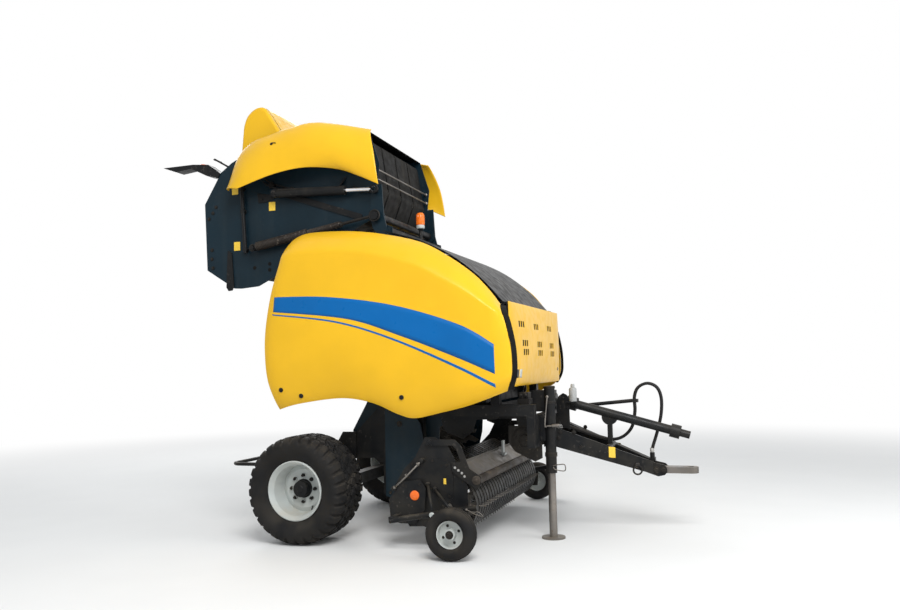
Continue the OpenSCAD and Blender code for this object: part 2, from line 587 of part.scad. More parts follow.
// Tailgate, drawn closed and then opened about its pivot
gate_low = [118, 985];
gate_x = -664;
gate_back = [[-455, 1223], [-640, 1505], [gate_x, 1640], [gate_x, 2100], [-600, 2400], [-440, 2700], [-209, 2960]];
gate_mid = [-100, 1950];
gate_outline = concat([[mating_x, 2640], [mating_x, 1403], [441, 1236], [405, 1170], gate_low], gate_back,
    [[100, 2920], [261, 2820], [440, 2745]]);
gate_ring = [[430, 2540], [230, 2740], [-150, 2850], [-430, 2540], [-490, 1640], [-390, 1345], [110, 1085]];
module gate_side() difference() {
    union() {
        plate(gate_outline, -wall_out, -chamber_half);
        bar(pivot, 68, -wall_out, -chamber_half, 48);
    }
    bar(pivot, pivot_r + running, -wall_out - 1, -chamber_half + 1, 48);
}
module gate_side_right() color(slate) opened() gate_side();
module gate_side_left() color(slate) opened() mirror([0, 1, 0]) gate_side();
module gate_frame() color(dark) opened() {
    bar(pivot, pivot_r, -link_y - 14, link_y + 14, 48);
    sheet = concat([gate_low], gate_back);
    plate(concat(sheet, [for (i = [len(sheet) - 1:-1:0]) lerp2(sheet[i], gate_mid, 0.01)]), -inner, inner);
    both() {
        bar(spring_pin, 20, wall_out + seat, link_y + 12);
        bar(cylinder_pin, 18, wall_out + seat, link_y + 30);
    }
}
module gate_rollers() color(steel) opened() for (p = gate_ring) roller(p);
module gate_belts() color(rubber) opened() belt_loop(gate_ring);
panel_outer = [[-403, 1540], [-616, 1735], [-682, 1940], [-652, 2130], [-598, 2341], [-495, 2600], [-174, 3008]];
panel_inner = [[-300, 1700], [-242, 2058], [-151, 2347], [12, 2602], [180, 2760], [348, 2897]];
panel_low = [[-403, 1540], [-356, 1617], [-300, 1700]];
panel_fore = [[-174, 3008], [80, 2975], [348, 2897]];
// How far the inner edge leans in, out of the way of the opened shield
panel_lean = 70;
function gate_panel_at(u, v) = let (p = patch(panel_outer, panel_inner, panel_low, panel_fore, u, v))
    [p[0], -872 + 160 * pow(1 - v, 3) + panel_lean * pow(v, 3) * exp(-pow((u - 0.55) / 0.3, 2)), p[1]];
module gate_panel() {
    skin([for (i = [0:16]) [for (j = [0:8]) gate_panel_at(i / 16, j / 8)]], panel_t);
    for (u = [0.3, 0.75]) let (q = gate_panel_at(u, 0.4))
        bar([q[0], q[2]], 12, q[1] + panel_t + 1, -wall_out - seat);
}
module gate_panel_right() color(yellow) opened() gate_panel();
module gate_panel_left() color(yellow) opened() mirror([0, 1, 0]) gate_panel();
hood_x = gate_x - 0.4;
hood_line = [[hood_x, 1650], [-802, 1728], [-907, 1789], [-989, 1840], [-1052, 1905], [-1078, 1980], [-1074, 2050],
    [-1040, 2098], [-980, 2115], [-868, 2130], [-769, 2142], [hood_x, 2155]];
hood_mid = [hood_x, 1905];
// Rows of the hood across the machine: y, scale of the outline about its middle
hood_rows = [[-500, 0.06], [-500, 0.5], [-500, 0.93], [-491, 0.98], [-470, 1], [0, 1], [470, 1], [491, 0.98], [500, 0.93],
    [500, 0.5], [500, 0.06]];
module gate_hood() color(yellow) opened()
    skin([for (i = [0:30]) let (p = curve(hood_line, i / 30)) [for (r = hood_rows)
        let (q = lerp2(hood_mid, p, r[1])) [q[0], r[0], q[1]]]], panel_t);
function lerp2(a, b, t) = a + (b - a) * t;
// Lock bars, foot plates and braces on the gate's sides
lock_y = wall_out + 30;
module gate_locks() color(dark) opened() both() {
    rung([-395, 1651], [178, 1426], lock_y, 17);
    for (p = [[-375, 1643], [-181, 1567], [150, 1437]]) bar(p, 22, wall_out + seat, lock_y + 14);
    plate([[95, 1290], [60, 1262], [360, 1105], [400, 1110], [412, 1145], [385, 1180]], wall_out + seat, wall_out + 14);
    link([-115, 1999], [428, 2555], wall_out + seat, wall_out + 12, 26);
}
module gate_springs() color(brown) opened() both() {
    d = (pivot - spring_pin) / norm(pivot - spring_pin);
    rung(spring_pin + d * (20 + 12), spring_pin + d * 560, link_y, 42);
    rung(spring_pin + d * 559, pivot - d * 320, link_y, 30);
    difference() {
        rung(spring_pin + d * 5, spring_pin + d * 33, link_y, 12);
        bar(spring_pin, 20 + seat, link_y - 30, link_y + 30);
    }
    difference() {
        rung(pivot - d * 321, pivot - d * 5, link_y, 14);
        bar(pivot, pivot_r + seat, link_y - 30, link_y + 30, 48);
    }
}
// Root of a lamp arm on the gate's lower rear sheet, t along the sheet
function lamp_root(t) = lerp2(gate_back[0], gate_back[1], t) + [-0.837, -0.549] * 0.4;
module gate_lamps() color(dark) opened() both()
    plate([lamp_root(0.97), [-776, 1418], [-862, 1273], lamp_tip, [-893, 1080], [-837, 1240], [-691, 1356], lamp_root(0.82)],
        chamber_half - 105, chamber_half + 15);

// Gate cylinders: barrel on the gate, rod's eye at the ear
barrel_pin = raised(cylinder_pin);
reach = norm(rod_pin - barrel_pin);
barrel_len = reach * 0.72;
module at_cylinder() translate([barrel_pin[0], -link_y, barrel_pin[1]])
    rotate([0, 90 - atan2(rod_pin[1] - barrel_pin[1], rod_pin[0] - barrel_pin[0]), 0]) children();
module gate_cylinder() {
    difference() {
        at_cylinder() difference() {
            union() {
                translate([0, 0, 24]) cylinder(r = cylinder_r + 6, h = barrel_len - 24, $fn = 48);
                rotate([90, 0, 0]) translate([0, 0, -22]) cylinder(r = 36, h = 44, $fn = 48);
            }
            translate([0, 0, barrel_len - 260]) cylinder(r = rod_r + running, h = 261, $fn = 48);
            rotate([90, 0, 0]) translate([0, 0, -30]) cylinder(r = 18 + running, h = 60, $fn = 48);
        }
    }
}
module gate_rod() at_cylinder() {
    translate([0, 0, barrel_len - 250]) cylinder(r = rod_r, h = reach - barrel_len + 250 - 27, $fn = 48);
    difference() {
        translate([0, 0, reach]) rotate([90, 0, 0]) translate([0, 0, -16]) cylinder(r = 36, h = 32, $fn = 48);
        translate([0, 0, reach]) rotate([90, 0, 0]) translate([0, 0, -17]) cylinder(r = 21, h = 34, $fn = 48);
    }
}
module gate_cylinder_right() color(dark) gate_cylinder();
module gate_cylinder_left() color(dark) mirror([0, 1, 0]) gate_cylinder();
module gate_rod_right() color(steel) gate_rod();
module gate_rod_left() color(steel) mirror([0, 1, 0]) gate_rod();

// Pickup
reel = [1245, 320];
rail_r = 14;
rail_top = [1040, 640];
rail_low = [975, 190];
tube_c = [905, 470];
side_y = pickup_half + 20;
gauge = [1380, gauge_r];
gauge_y = 1400;
windguard_axis = [1100, 810];
module pickup_frame() color(dark) {
    both() {
        difference() {
            plate([[800, 470], [830, 290], [920, 160], [1320, 180], [1400, 300], [1400, 480], [1320, 640], [1240, 800],
                [1140, 850], [1060, 850], [980, 700], [880, 600]], side_y, side_y + 8);
            bar(reel, 30 + running, side_y - 1, side_y + 9, 48);
        }
        difference() {
            union() {
                link(rotor, tube_c, arm_y0, arm_y1, 90);
            }
            bar(rotor, boss_r + running, arm_y0 - 1, arm_y1 + 1, 48);
        }
        rung([830, 235], [1530, 352], 1230, 22);
        block(820, 860, side_y + 4, 1230, 220, 260);
        block(1240, 1280, side_y + 7, 1230, 285, 325);
        plate([[1330, 345], [1430, 345], [1415, 160], [1345, 160]], 1262, 1276);
        block(1340, 1420, 1235, 1264, 300, 345);
        bar(gauge, 16, 1270, 1470);
        bar(windguard_axis, 14, side_y + 6, side_y + 60);
    }
    bar(tube_c, 35, -side_y - 4, side_y + 4, 48);
    bar(rail_top, rail_r, -side_y - 2, side_y + 2);
    bar(rail_low, rail_r, -side_y - 2, side_y + 2);
}
band_w = 50;
band_pitch = 2 * pickup_half / band_count;
// Angle at which a band leaves the reel's circle for a rail, side 1 above and -1 below
function wrap_angle(rail, o, side) = let (d = reel - rail)
    atan2(d[1], d[0]) + side * acos((o - band_r + 5) / norm(d));
module pickup_bands() color(dark) {
    t = 5;
    o = rail_r + 0.6;
    top = wrap_angle(rail_top, o, 1);
    low = wrap_angle(rail_low, o, -1);
    outline = concat(arc(rail_top, o + t, top + 60, top, 4), arc(reel, band_r, top, low, 20),
        arc(rail_low, o + t, low, low - 60, 4), arc(rail_low, o, low - 60, low, 4),
        arc(reel, band_r - t, low, top, 20), arc(rail_top, o, top, top + 60, 4));
    for (i = [0:band_count - 1]) let (y = -pickup_half + (i + 0.5) * band_pitch) plate(outline, y - band_w / 2, y + band_w / 2);
}
module pickup_reel() color(steel) {
    bar(reel, 30, -side_y - 4, side_y + 4, 48);
    for (a = [0:3]) let (c = reel + 150 * [cos(a * 90), sin(a * 90)]) bar(c, 14, -pickup_half + 10, pickup_half - 10, 24);
    for (y = [-pickup_half + band_pitch / 2, 0, pickup_half - band_pitch / 2]) bar(reel, 165, y - 4, y + 4, 48);
    for (a = [0:3], i = [1:band_count - 1]) let (y = -pickup_half + i * band_pitch)
        translate([reel[0], y, reel[1]]) rotate([0, a * 90, 0]) translate([0, 0, 150]) cylinder(r = 4, h = tine_r - 150, $fn = 8);
}
guard_roll = [1480, 530];
module windguard() color(brown) {
    both() difference() {
        union() {
            link(windguard_axis, [1320, 805], side_y + 16, side_y + 28, 24);
            link([1320, 805], [1400, 610], side_y + 16, side_y + 28, 24);
            link([1400, 610], guard_roll, side_y + 16, side_y + 28, 30);
        }
        bar(windguard_axis, 14 + running, side_y, side_y + 40);
    }
    bar(guard_roll, 35, -side_y - 18, side_y + 18, 48);
    plate([[1365, 640], [1472, 552], [1478, 558], [1370, 646]], -side_y - 17, side_y + 17);
}
module gauge_tyre() translate([gauge[0], -gauge_y, gauge[1]]) rotate([90, 0, 0])
    rotate_extrude($fn = 64) polygon([[100, -40], [110, -gauge_w / 2 + 12], [140, -gauge_w / 2], [gauge_r - 22, -gauge_w / 2 + 14],
        [gauge_r - 4, -gauge_w / 2 + 40], [gauge_r, 0], [gauge_r - 4, gauge_w / 2 - 40], [gauge_r - 22, gauge_w / 2 - 14],
        [140, gauge_w / 2], [110, gauge_w / 2 - 12], [100, 40]]);
module gauge_rim() translate([gauge[0], -gauge_y, gauge[1]]) rotate([90, 0, 0])
    rotate_extrude($fn = 64) polygon([[16 + running, -30], [40, -30], [44, -8], [88, -10], [92, -38], [100 - seat, -40],
        [100 - seat, 40], [92, 38], [88, 0], [44, 2], [40, 40], [16 + running, 40]]);
module gauge_tyre_right() color(rubber) gauge_tyre();
module gauge_tyre_left() color(rubber) mirror([0, 1, 0]) gauge_tyre();
module gauge_rim_right() color(pale) gauge_rim();
module gauge_rim_left() color(pale) mirror([0, 1, 0]) gauge_rim();

module place() translate([-origin_x, 0, 0]) children();
place() axle();
place() chassis();
place() side_wall_right();
place() side_wall_left();
place() cross_sheets();
place() drawbar();
place() hitch_eye();
place() side_covers();
place() gearbox();
place() drive_shaft();
place() hose_arm();
place() hose_right();
place() hose_left();
place() jack_tube();
place() jack_leg();
place() feed_rotor();
place() feed_floor();
place() chamber_rollers();
place() front_belts();
place() net_box();
place() top_cover();
place() front_panel();
place() shield_right();
place() shield_left();
place() chain_drive();
place() beacon();
place() bale_ramp();
place() gate_side_right();
place() gate_side_left();
place() gate_frame();
place() gate_rollers();
place() gate_belts();
place() gate_locks();
place() gate_panel_right();
place() gate_panel_left();
place() gate_hood();
place() gate_springs();
place() gate_lamps();
place() gate_cylinder_right();
place() gate_cylinder_left();
place() gate_rod_right();
place() gate_rod_left();
place() tyre_right();
place() tyre_left();
place() rim_right();
place() rim_left();
place() pickup_frame();
place() pickup_bands();
place() pickup_reel();
place() windguard();
place() gauge_tyre_right();
place() gauge_tyre_left();
place() gauge_rim_right();
place() gauge_rim_left();
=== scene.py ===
"""Looks of a round baler: finishes, moulded panels, small parts, studio and camera.

Machine places are metres ahead of the axle, to the left of the centreline and over the ground.
"""
import logging
import math
from dataclasses import dataclass, field
from enum import Enum
from typing import Callable, Iterable, Sequence

import bmesh
import bpy
from mathutils import Matrix, Vector
from mathutils.bvhtree import BVHTree


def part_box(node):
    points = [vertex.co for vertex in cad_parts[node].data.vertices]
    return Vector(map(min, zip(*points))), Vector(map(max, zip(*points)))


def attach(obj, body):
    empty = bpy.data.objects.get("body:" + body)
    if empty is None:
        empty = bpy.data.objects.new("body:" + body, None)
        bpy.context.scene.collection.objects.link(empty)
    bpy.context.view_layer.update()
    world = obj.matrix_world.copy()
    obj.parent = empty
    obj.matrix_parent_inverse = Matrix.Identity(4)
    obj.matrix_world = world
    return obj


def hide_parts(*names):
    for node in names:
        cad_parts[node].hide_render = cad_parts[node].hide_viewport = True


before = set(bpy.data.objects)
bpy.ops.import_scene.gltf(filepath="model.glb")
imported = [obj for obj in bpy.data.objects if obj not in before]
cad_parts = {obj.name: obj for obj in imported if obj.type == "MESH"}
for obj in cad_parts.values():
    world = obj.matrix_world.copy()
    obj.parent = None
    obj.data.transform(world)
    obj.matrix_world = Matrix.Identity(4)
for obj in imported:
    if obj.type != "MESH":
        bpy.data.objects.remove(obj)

log = logging.getLogger("round_baler")
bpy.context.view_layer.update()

Point = tuple[float, float, float]
Flat = tuple[float, float]
Profile = tuple[Flat, ...]
Grid = list[list[Vector]]
Piece = bpy.types.Object
Socket = bpy.types.NodeSocket

AHEAD, ACROSS, UP = Vector((1, 0, 0)), Vector((0, 1, 0)), Vector((0, 0, 1))
SHARP_EDGE = math.radians(35)
AXIS_RADIUS = 1e-5


def axle_offset() -> float:
    """X of the axle in the frame, from the right tyre's box."""
    low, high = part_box("tyre_right")
    return (low.x + high.x) / 2


AXLE_X = axle_offset()
# Tailgate: its hinge as machine x and z, and its opening. Then the distances from the centreline of
# what seats on its side sheets and on the side walls, and of the springs and cylinders beside it.
GATE_PIVOT: Flat = (0.51, 2.7)
GATE_OPEN = math.radians(65)
GATE_FACE = 0.6313
SPRING_Y = 0.699


class Side(Enum):
    """Side of the machine, with the sign of its Y."""

    RIGHT = -1
    LEFT = 1

    @property
    def word(self) -> str:
        """Name of the side in node and body names."""
        return self.name.lower()


def at(x: float, y: float, z: float) -> Vector:
    """Point of the frame for a machine place."""
    return Vector((x + AXLE_X, y, z))


def on_gate(x: float, y: float, z: float) -> Vector:
    """Point of the frame for a place given on the closed tailgate.

    Args:
        x: metres ahead of the axle.
        y: metres to the left of the centreline.
        z: metres over the ground.

    Returns:
        Where that point is with the gate raised.
    """
    dx, dz = x - GATE_PIVOT[0], z - GATE_PIVOT[1]
    c, s = math.cos(GATE_OPEN), math.sin(GATE_OPEN)
    return at(GATE_PIVOT[0] + c * dx + s * dz, y, GATE_PIVOT[1] + c * dz - s * dx)


def gate_way(dx: float, dz: float) -> Vector:
    """Way in the frame of a way given on the closed tailgate, one metre long."""
    c, s = math.cos(GATE_OPEN), math.sin(GATE_OPEN)
    return Vector((c * dx + s * dz, 0, c * dz - s * dx)).normalized()


def smooth_curve(points: Sequence, t: float) -> Vector:
    """Point on the smooth curve through the points.

    Args:
        points: places along the curve, as tuples of two or three numbers.
        t: 0 at the first point and 1 at the last.

    Returns:
        The point at t.
    """
    last = len(points) - 1
    s = min(max(t, 0.0), 1.0) * last
    i = min(int(s), last - 1)
    f = s - i
    a, b = Vector(points[max(i - 1, 0)]), Vector(points[i])
    c, d = Vector(points[i + 1]), Vector(points[min(i + 2, last)])
    return 0.5 * (2 * b + (c - a) * f + (2 * a - 5 * b + 4 * c - d) * f * f
                  + (3 * b - a - 3 * c + d) * f ** 3)


def edge_patch(top: Sequence, low: Sequence, rear: Sequence, fore: Sequence, u: float, v: float) -> Vector:
    """Point of the surface that four edge curves span.

    Args:
        top: edge at v = 0, from rear to front.
        low: edge at v = 1, from rear to front.
        rear: edge at u = 0, from top to bottom.
        fore: edge at u = 1, from top to bottom.
        u: share of the way from rear to front.
        v: share of the way from top to bottom.

    Returns:
        The point of the patch.
    """
    ruled = (1 - v) * smooth_curve(top, u) + v * smooth_curve(low, u)
    across = (1 - u) * smooth_curve(rear, v) + u * smooth_curve(fore, v)
    corners = ((1 - u) * (1 - v) * Vector(top[0]) + u * (1 - v) * Vector(top[-1])
               + (1 - u) * v * Vector(low[0]) + u * v * Vector(low[-1]))
    return ruled + across - corners


def put_in(name: str, data: bpy.types.ID) -> Piece:
    """Object for a mesh, curve, lamp or camera, linked to the scene."""
    obj = bpy.data.objects.new(name, data)
    bpy.context.scene.collection.objects.link(obj)
    return obj


def new_object(name: str, verts: Iterable, faces: Iterable, smooth: bool = True) -> Piece:
    """Mesh object from points and faces.

    Args:
        name: name of the piece.
        verts: points in the frame.
        faces: lists of point numbers.
        smooth: whether the faces are shaded smooth.

    Returns:
        The new object.
    """
    mesh = bpy.data.meshes.new(name)
    mesh.from_pydata([tuple(v) for v in verts], [], [tuple(f) for f in faces])
    mesh.validate()
    mesh.update()
    mesh.polygons.foreach_set("use_smooth", [smooth] * len(mesh.polygons))
    return put_in(name, mesh)


def settle(obj: Piece) -> Piece:
    """Applies the modifiers of a piece to its mesh.

    Args:
        obj: the piece.

    Returns:
        The same piece.
    """
    graph = bpy.context.evaluated_depsgraph_get()
    graph.update()
    mesh = bpy.data.meshes.new_from_object(obj.evaluated_get(graph))
    obj.modifiers.clear()
    obj.data = mesh
    return obj


def soften(obj: Piece, width: float, segments: int = 2) -> Piece:
    """Rounds the sharp edges of a piece.

    Args:
        obj: the piece.
        width: width of the rounding, in metres.
        segments: faces across the rounding.

    Returns:
        The same piece with its mesh rounded.
    """
    bevel = obj.modifiers.new("edge", "BEVEL")
    bevel.width = width
    bevel.segments = segments
    bevel.limit_method = "ANGLE"
    bevel.angle_limit = SHARP_EDGE
    bevel.harden_normals = True
    return settle(obj)


def skin(cols: int, rows: int, point: Callable[[float, float], Vector]) -> Grid:
    """Points of a surface, from its point at two shares of 0 to 1."""
    return [[point(i / cols, j / rows) for j in range(rows + 1)] for i in range(cols + 1)]


def rectangle(width: float, height: float) -> Profile:
    """Corners of a rectangle round its middle, from half its width and half its height."""
    return (-width, -height), (width, -height), (width, height), (-width, height)


def sheet_object(name: str, grid: Sequence[Sequence[Vector]], thickness: float,
                 edge: float = 0.0) -> Piece:
    """Curved sheet whose outer face is a grid of points.

    Args:
        name: name of the piece.
        grid: rows of points on the outer face.
        thickness: thickness of the sheet, behind the outer face.
        edge: width of the rounding along its edges, or 0.

    Returns:
        The new piece.
    """
    rows, cols = len(grid), len(grid[0])
    faces = [(i * cols + j, i * cols + j + 1, (i + 1) * cols + j + 1, (i + 1) * cols + j)
             for i in range(rows - 1) for j in range(cols - 1)]
    obj = new_object(name, [p for row in grid for p in row], faces)
    solid = obj.modifiers.new("thickness", "SOLIDIFY")
    solid.thickness = thickness
    solid.offset = -1
    solid.use_even_offset = True
    settle(obj)
    return soften(obj, edge) if edge else obj


def tube(name: str, path: Sequence[Vector], radius: float, sides: int, closed: bool = False) -> Piece:
    """Round bar, rod or hose along a path.

    Args:
        name: name of the piece.
        path: points along its centre.
        radius: its radius.
        sides: faces round it.
        closed: whether its end meets its start.

    Returns:
        The new piece.
    """
    count = len(path)
    verts, faces = [], []
    side = None
    for i, centre in enumerate(path):
        ahead = path[(i + 1) % count] if closed or i < count - 1 else path[i]
        behind = path[i - 1] if closed or i > 0 else path[i]
        along = (ahead - behind).normalized()
        if side is None:
            side = along.orthogonal().normalized()
        side = (side - along * side.dot(along)).normalized()
        up = along.cross(side)
        for k in range(sides):
            a = 2 * math.pi * k / sides
            verts.append(centre + radius * (math.cos(a) * side + math.sin(a) * up))
    for i in range(count if closed else count - 1):
        for k in range(sides):
            a, b = i * sides, ((i + 1) % count) * sides
            n = (k + 1) % sides
            faces.append((a + k, b + k, b + n, a + n))
    if not closed:
        faces.append(tuple(range(sides)))
        faces.append(tuple(reversed(range((count - 1) * sides, count * sides))))
    obj = new_object(name, verts, faces)
    recalc(obj)
    return obj


def recalc(obj: Piece) -> None:
    """Turns the faces of a piece outward.

    Args:
        obj: the piece.
    """
    bm = bmesh.new()
    bm.from_mesh(obj.data)
    bmesh.ops.recalc_face_normals(bm, faces=bm.faces)
    bm.to_mesh(obj.data)
    bm.free()


def rounded_path(points: Sequence[Vector], steps: int) -> list[Vector]:
    """Points of the smooth curve through the given points, one more than its steps."""
    return [smooth_curve(points, i / steps) for i in range(steps + 1)]


def plate_object(name: str, outline: Sequence[Vector], depth: Vector, edge: float = 0.0) -> Piece:
    """Flat plate cut to an outline.

    Args:
        name: name of the piece.
        outline: corner points of one face.
        depth: the way and distance to the other face.
        edge: width of the rounding along its edges, or 0.

    Returns:
        The new piece.
    """
    n = len(outline)
    verts = list(outline) + [p + depth for p in outline]
    faces = [tuple(range(n)), tuple(range(2 * n - 1, n - 1, -1))]
    faces += [(i, (i + 1) % n, (i + 1) % n + n, i + n) for i in range(n)]
    obj = new_object(name, verts, faces, smooth=False)
    recalc(obj)
    return soften(obj, edge) if edge else obj


def lathed(name: str, profile: Sequence[Flat], start: Vector, axis: Vector, segments: int,
           ring: bool = False) -> Piece:
    """Piece turned from a profile.

    Args:
        name: name of the piece.
        profile: pairs of radius and distance along the axis.
        start: point of the axis that the distances count from.
        axis: way of the axis.
        segments: faces round it.
        ring: whether the profile is closed and leaves the middle free.

    Returns:
        The new piece.
    """
    along = axis.normalized()
    side = along.orthogonal().normalized()
    up = along.cross(side)
    verts, faces = [], []
    for r, d in profile:
        for k in range(segments):
            a = 2 * math.pi * k / segments
            around = math.cos(a) * side + math.sin(a) * up
            verts.append(start + along * d + max(r, AXIS_RADIUS) * around)
    last = len(profile) - 1
    for i in range(last + 1 if ring else last):
        m = (i + 1) % (last + 1)
        for k in range(segments):
            n = (k + 1) % segments
            faces.append((i * segments + k, i * segments + n, m * segments + n, m * segments + k))
    if not ring:
        faces += [tuple(range(segments)), tuple(range(last * segments, (last + 1) * segments))]
    obj = new_object(name, verts, faces)
    recalc(obj)
    for poly in obj.data.polygons:
        poly.use_smooth = len(poly.vertices) == 4
    obj.data.set_sharp_from_angle(angle=SHARP_EDGE)
    return obj


def ring_places(middle: Vector, radius: float, count: int, start: float = 0.0) -> list[Vector]:
    """Places evenly spaced on an upright circle that faces across the machine."""
    angles = [2 * math.pi * k / count + start for k in range(count)]
    return [middle + radius * Vector((math.cos(a), 0, math.sin(a))) for a in angles]


def wheel_body(name: str, middle: Vector, rows: Sequence[Flat], around: int, sharp: float,
               cut: Callable[[int, float, float], float] = lambda step, r, w: 0.0) -> Piece:
    """Closed body turned about an axle across the machine.

    Args:
        name: name of the piece.
        middle: its centre.
        rows: its section, as radius and way along the axle.
        around: steps round it.
        sharp: angle in degrees above which an edge shows.
        cut: depth taken off at a step, a radius and a way along the axle.

    Returns:
        The new piece.
    """
    verts, faces = [], []
    count = len(rows)
    for k in range(around):
        angle = 2 * math.pi * k / around
        ahead = Vector((math.cos(angle), 0, math.sin(angle)))
        verts += [middle + ahead * (r - cut(k, r, w)) + Vector((0, w, 0)) for r, w in rows]
        a, b = k * count, ((k + 1) % around) * count
        faces += [(a + j, a + (j + 1) % count, b + (j + 1) % count, b + j) for j in range(count)]
    obj = new_object(name, verts, faces)
    recalc(obj)
    obj.data.set_sharp_from_angle(angle=math.radians(sharp))
    return obj


def joined(name: str, parts: Sequence[Piece]) -> Piece:
    """One piece from several meshes.

    Args:
        name: name of the joined piece.
        parts: the meshes, which are taken up into it.

    Returns:
        The joined piece.
    """
    bm = bmesh.new()
    for part in parts:
        part.data.transform(part.matrix_world)
        bm.from_mesh(part.data)
    mesh = bpy.data.meshes.new(name)
    bm.to_mesh(mesh)
    bm.free()
    for part in parts:
        bpy.data.objects.remove(part)
    return put_in(name, mesh)


# Washer and hexagon head as shares of the head's radius: radius and distance off the seat.
WASHER: Profile = ((1.45, 0), (1.45, 0.22), (0.9, 0.24))
HEXAGON: Profile = ((1, 0.2), (1, 0.82), (0.84, 0.98))


def bolt_heads(name: str, places: Sequence[Vector], axis: Vector, size: float) -> Piece:
    """Hexagon heads on washers.

    Args:
        name: name of the joined piece.
        places: centres of the washers' backs.
        axis: way that the heads face.
        size: radius of a head across its corners.

    Returns:
        The heads as one piece.
    """
    parts = []
    washer, hexagon = ([(size * r, size * d) for r, d in shares] for shares in (WASHER, HEXAGON))
    for place in places:
        parts.append(lathed("washer", washer, place, axis, 16))
        head = lathed("head", hexagon, place, axis, 6)
        for poly in head.data.polygons:
            poly.use_smooth = False
        parts.append(head)
    return joined(name, parts)


def side_plate(name: str, outline: Sequence[Flat], y0: float, y1: float, edge: float = 0.0015) -> Piece:
    """Plate that stands along the machine, from its corners' machine x and z and its two faces' y."""
    return plate_object(name, [at(x, y0, z) for x, z in outline], Vector((0, y1 - y0, 0)), edge)


def strap_outline(points: Sequence[Flat], half: float) -> list[Flat]:
    """Outline of a strap with round ends along a bent line.

    Args:
        points: machine x and z of the line's corners.
        half: half of the strap's width.

    Returns:
        The outline's corners.
    """
    sharpest, steps = 0.4, 8
    line = [Vector(p) for p in points]
    ways = [(b - a).normalized() for a, b in zip(line, line[1:])]
    left, right = [], []
    for i, place in enumerate(line):
        a, b = ways[max(i - 1, 0)], ways[min(i, len(ways) - 1)]
        mean = (a + b).normalized()
        side = Vector((-mean.y, mean.x)) * (half / max(sharpest, mean.dot(b)))
        left.append(place + side)
        right.append(place - side)
    angles = [math.pi * k / steps for k in range(1, steps)]
    ends = []
    for place, way, turn in ((line[-1], ways[-1], 1), (line[0], ways[0], -1)):
        side = Vector((-way.y, way.x))
        ends.append([place + half * turn * (math.cos(a) * side + math.sin(a) * way) for a in angles])
    return [tuple(p) for p in left + ends[0] + right[::-1] + ends[1]]


def slab(name: str, low: Point, high: Point, edge: float = 0.002) -> Piece:
    """Block with rounded edges between its lowest and its highest corner, as machine places."""
    outline = [(low[0], low[2]), (high[0], low[2]), (high[0], high[2]), (low[0], high[2])]
    return side_plate(name, outline, low[1], high[1], edge)


def coil_path(start: Vector, end: Vector, radius: float, pitch: float, per_turn: int) -> list[Vector]:
    """Points of a coil wound round a straight line.

    Args:
        start: start of the line.
        end: end of the line.
        radius: distance of the wire's centre from the line.
        pitch: way along the line for one turn.
        per_turn: points for one turn.

    Returns:
        The points along the wire.
    """
    along = (end - start).normalized()
    length = (end - start).length
    side = along.orthogonal().normalized()
    up = along.cross(side)
    count = int(length / pitch * per_turn)
    turn = 2 * math.pi / per_turn
    return [start + along * (length * i / count)
            + radius * (math.cos(i * turn) * side + math.sin(i * turn) * up) for i in range(count + 1)]


def loop_path(centre: Vector, axis: Vector, radius: float, steps: int = 24) -> list[Vector]:
    """Points of a circle round an axis.

    Args:
        centre: its centre.
        axis: way of the axis.
        radius: its radius.
        steps: number of points.

    Returns:
        The points, evenly spaced.
    """
    side = axis.orthogonal().normalized()
    up = axis.normalized().cross(side)
    angles = [2 * math.pi * i / steps for i in range(steps)]
    return [centre + radius * (math.cos(a) * side + math.sin(a) * up) for a in angles]


@dataclass(frozen=True)
class Cloud:
    """A noise and the stretch of it that counts."""

    scale: float  # grain, per metre
    detail: float  # octaves
    low: float = 0.0
    high: float = 1.0
    stretch: Point = (1, 1, 1)  # factors along X, Y and Z


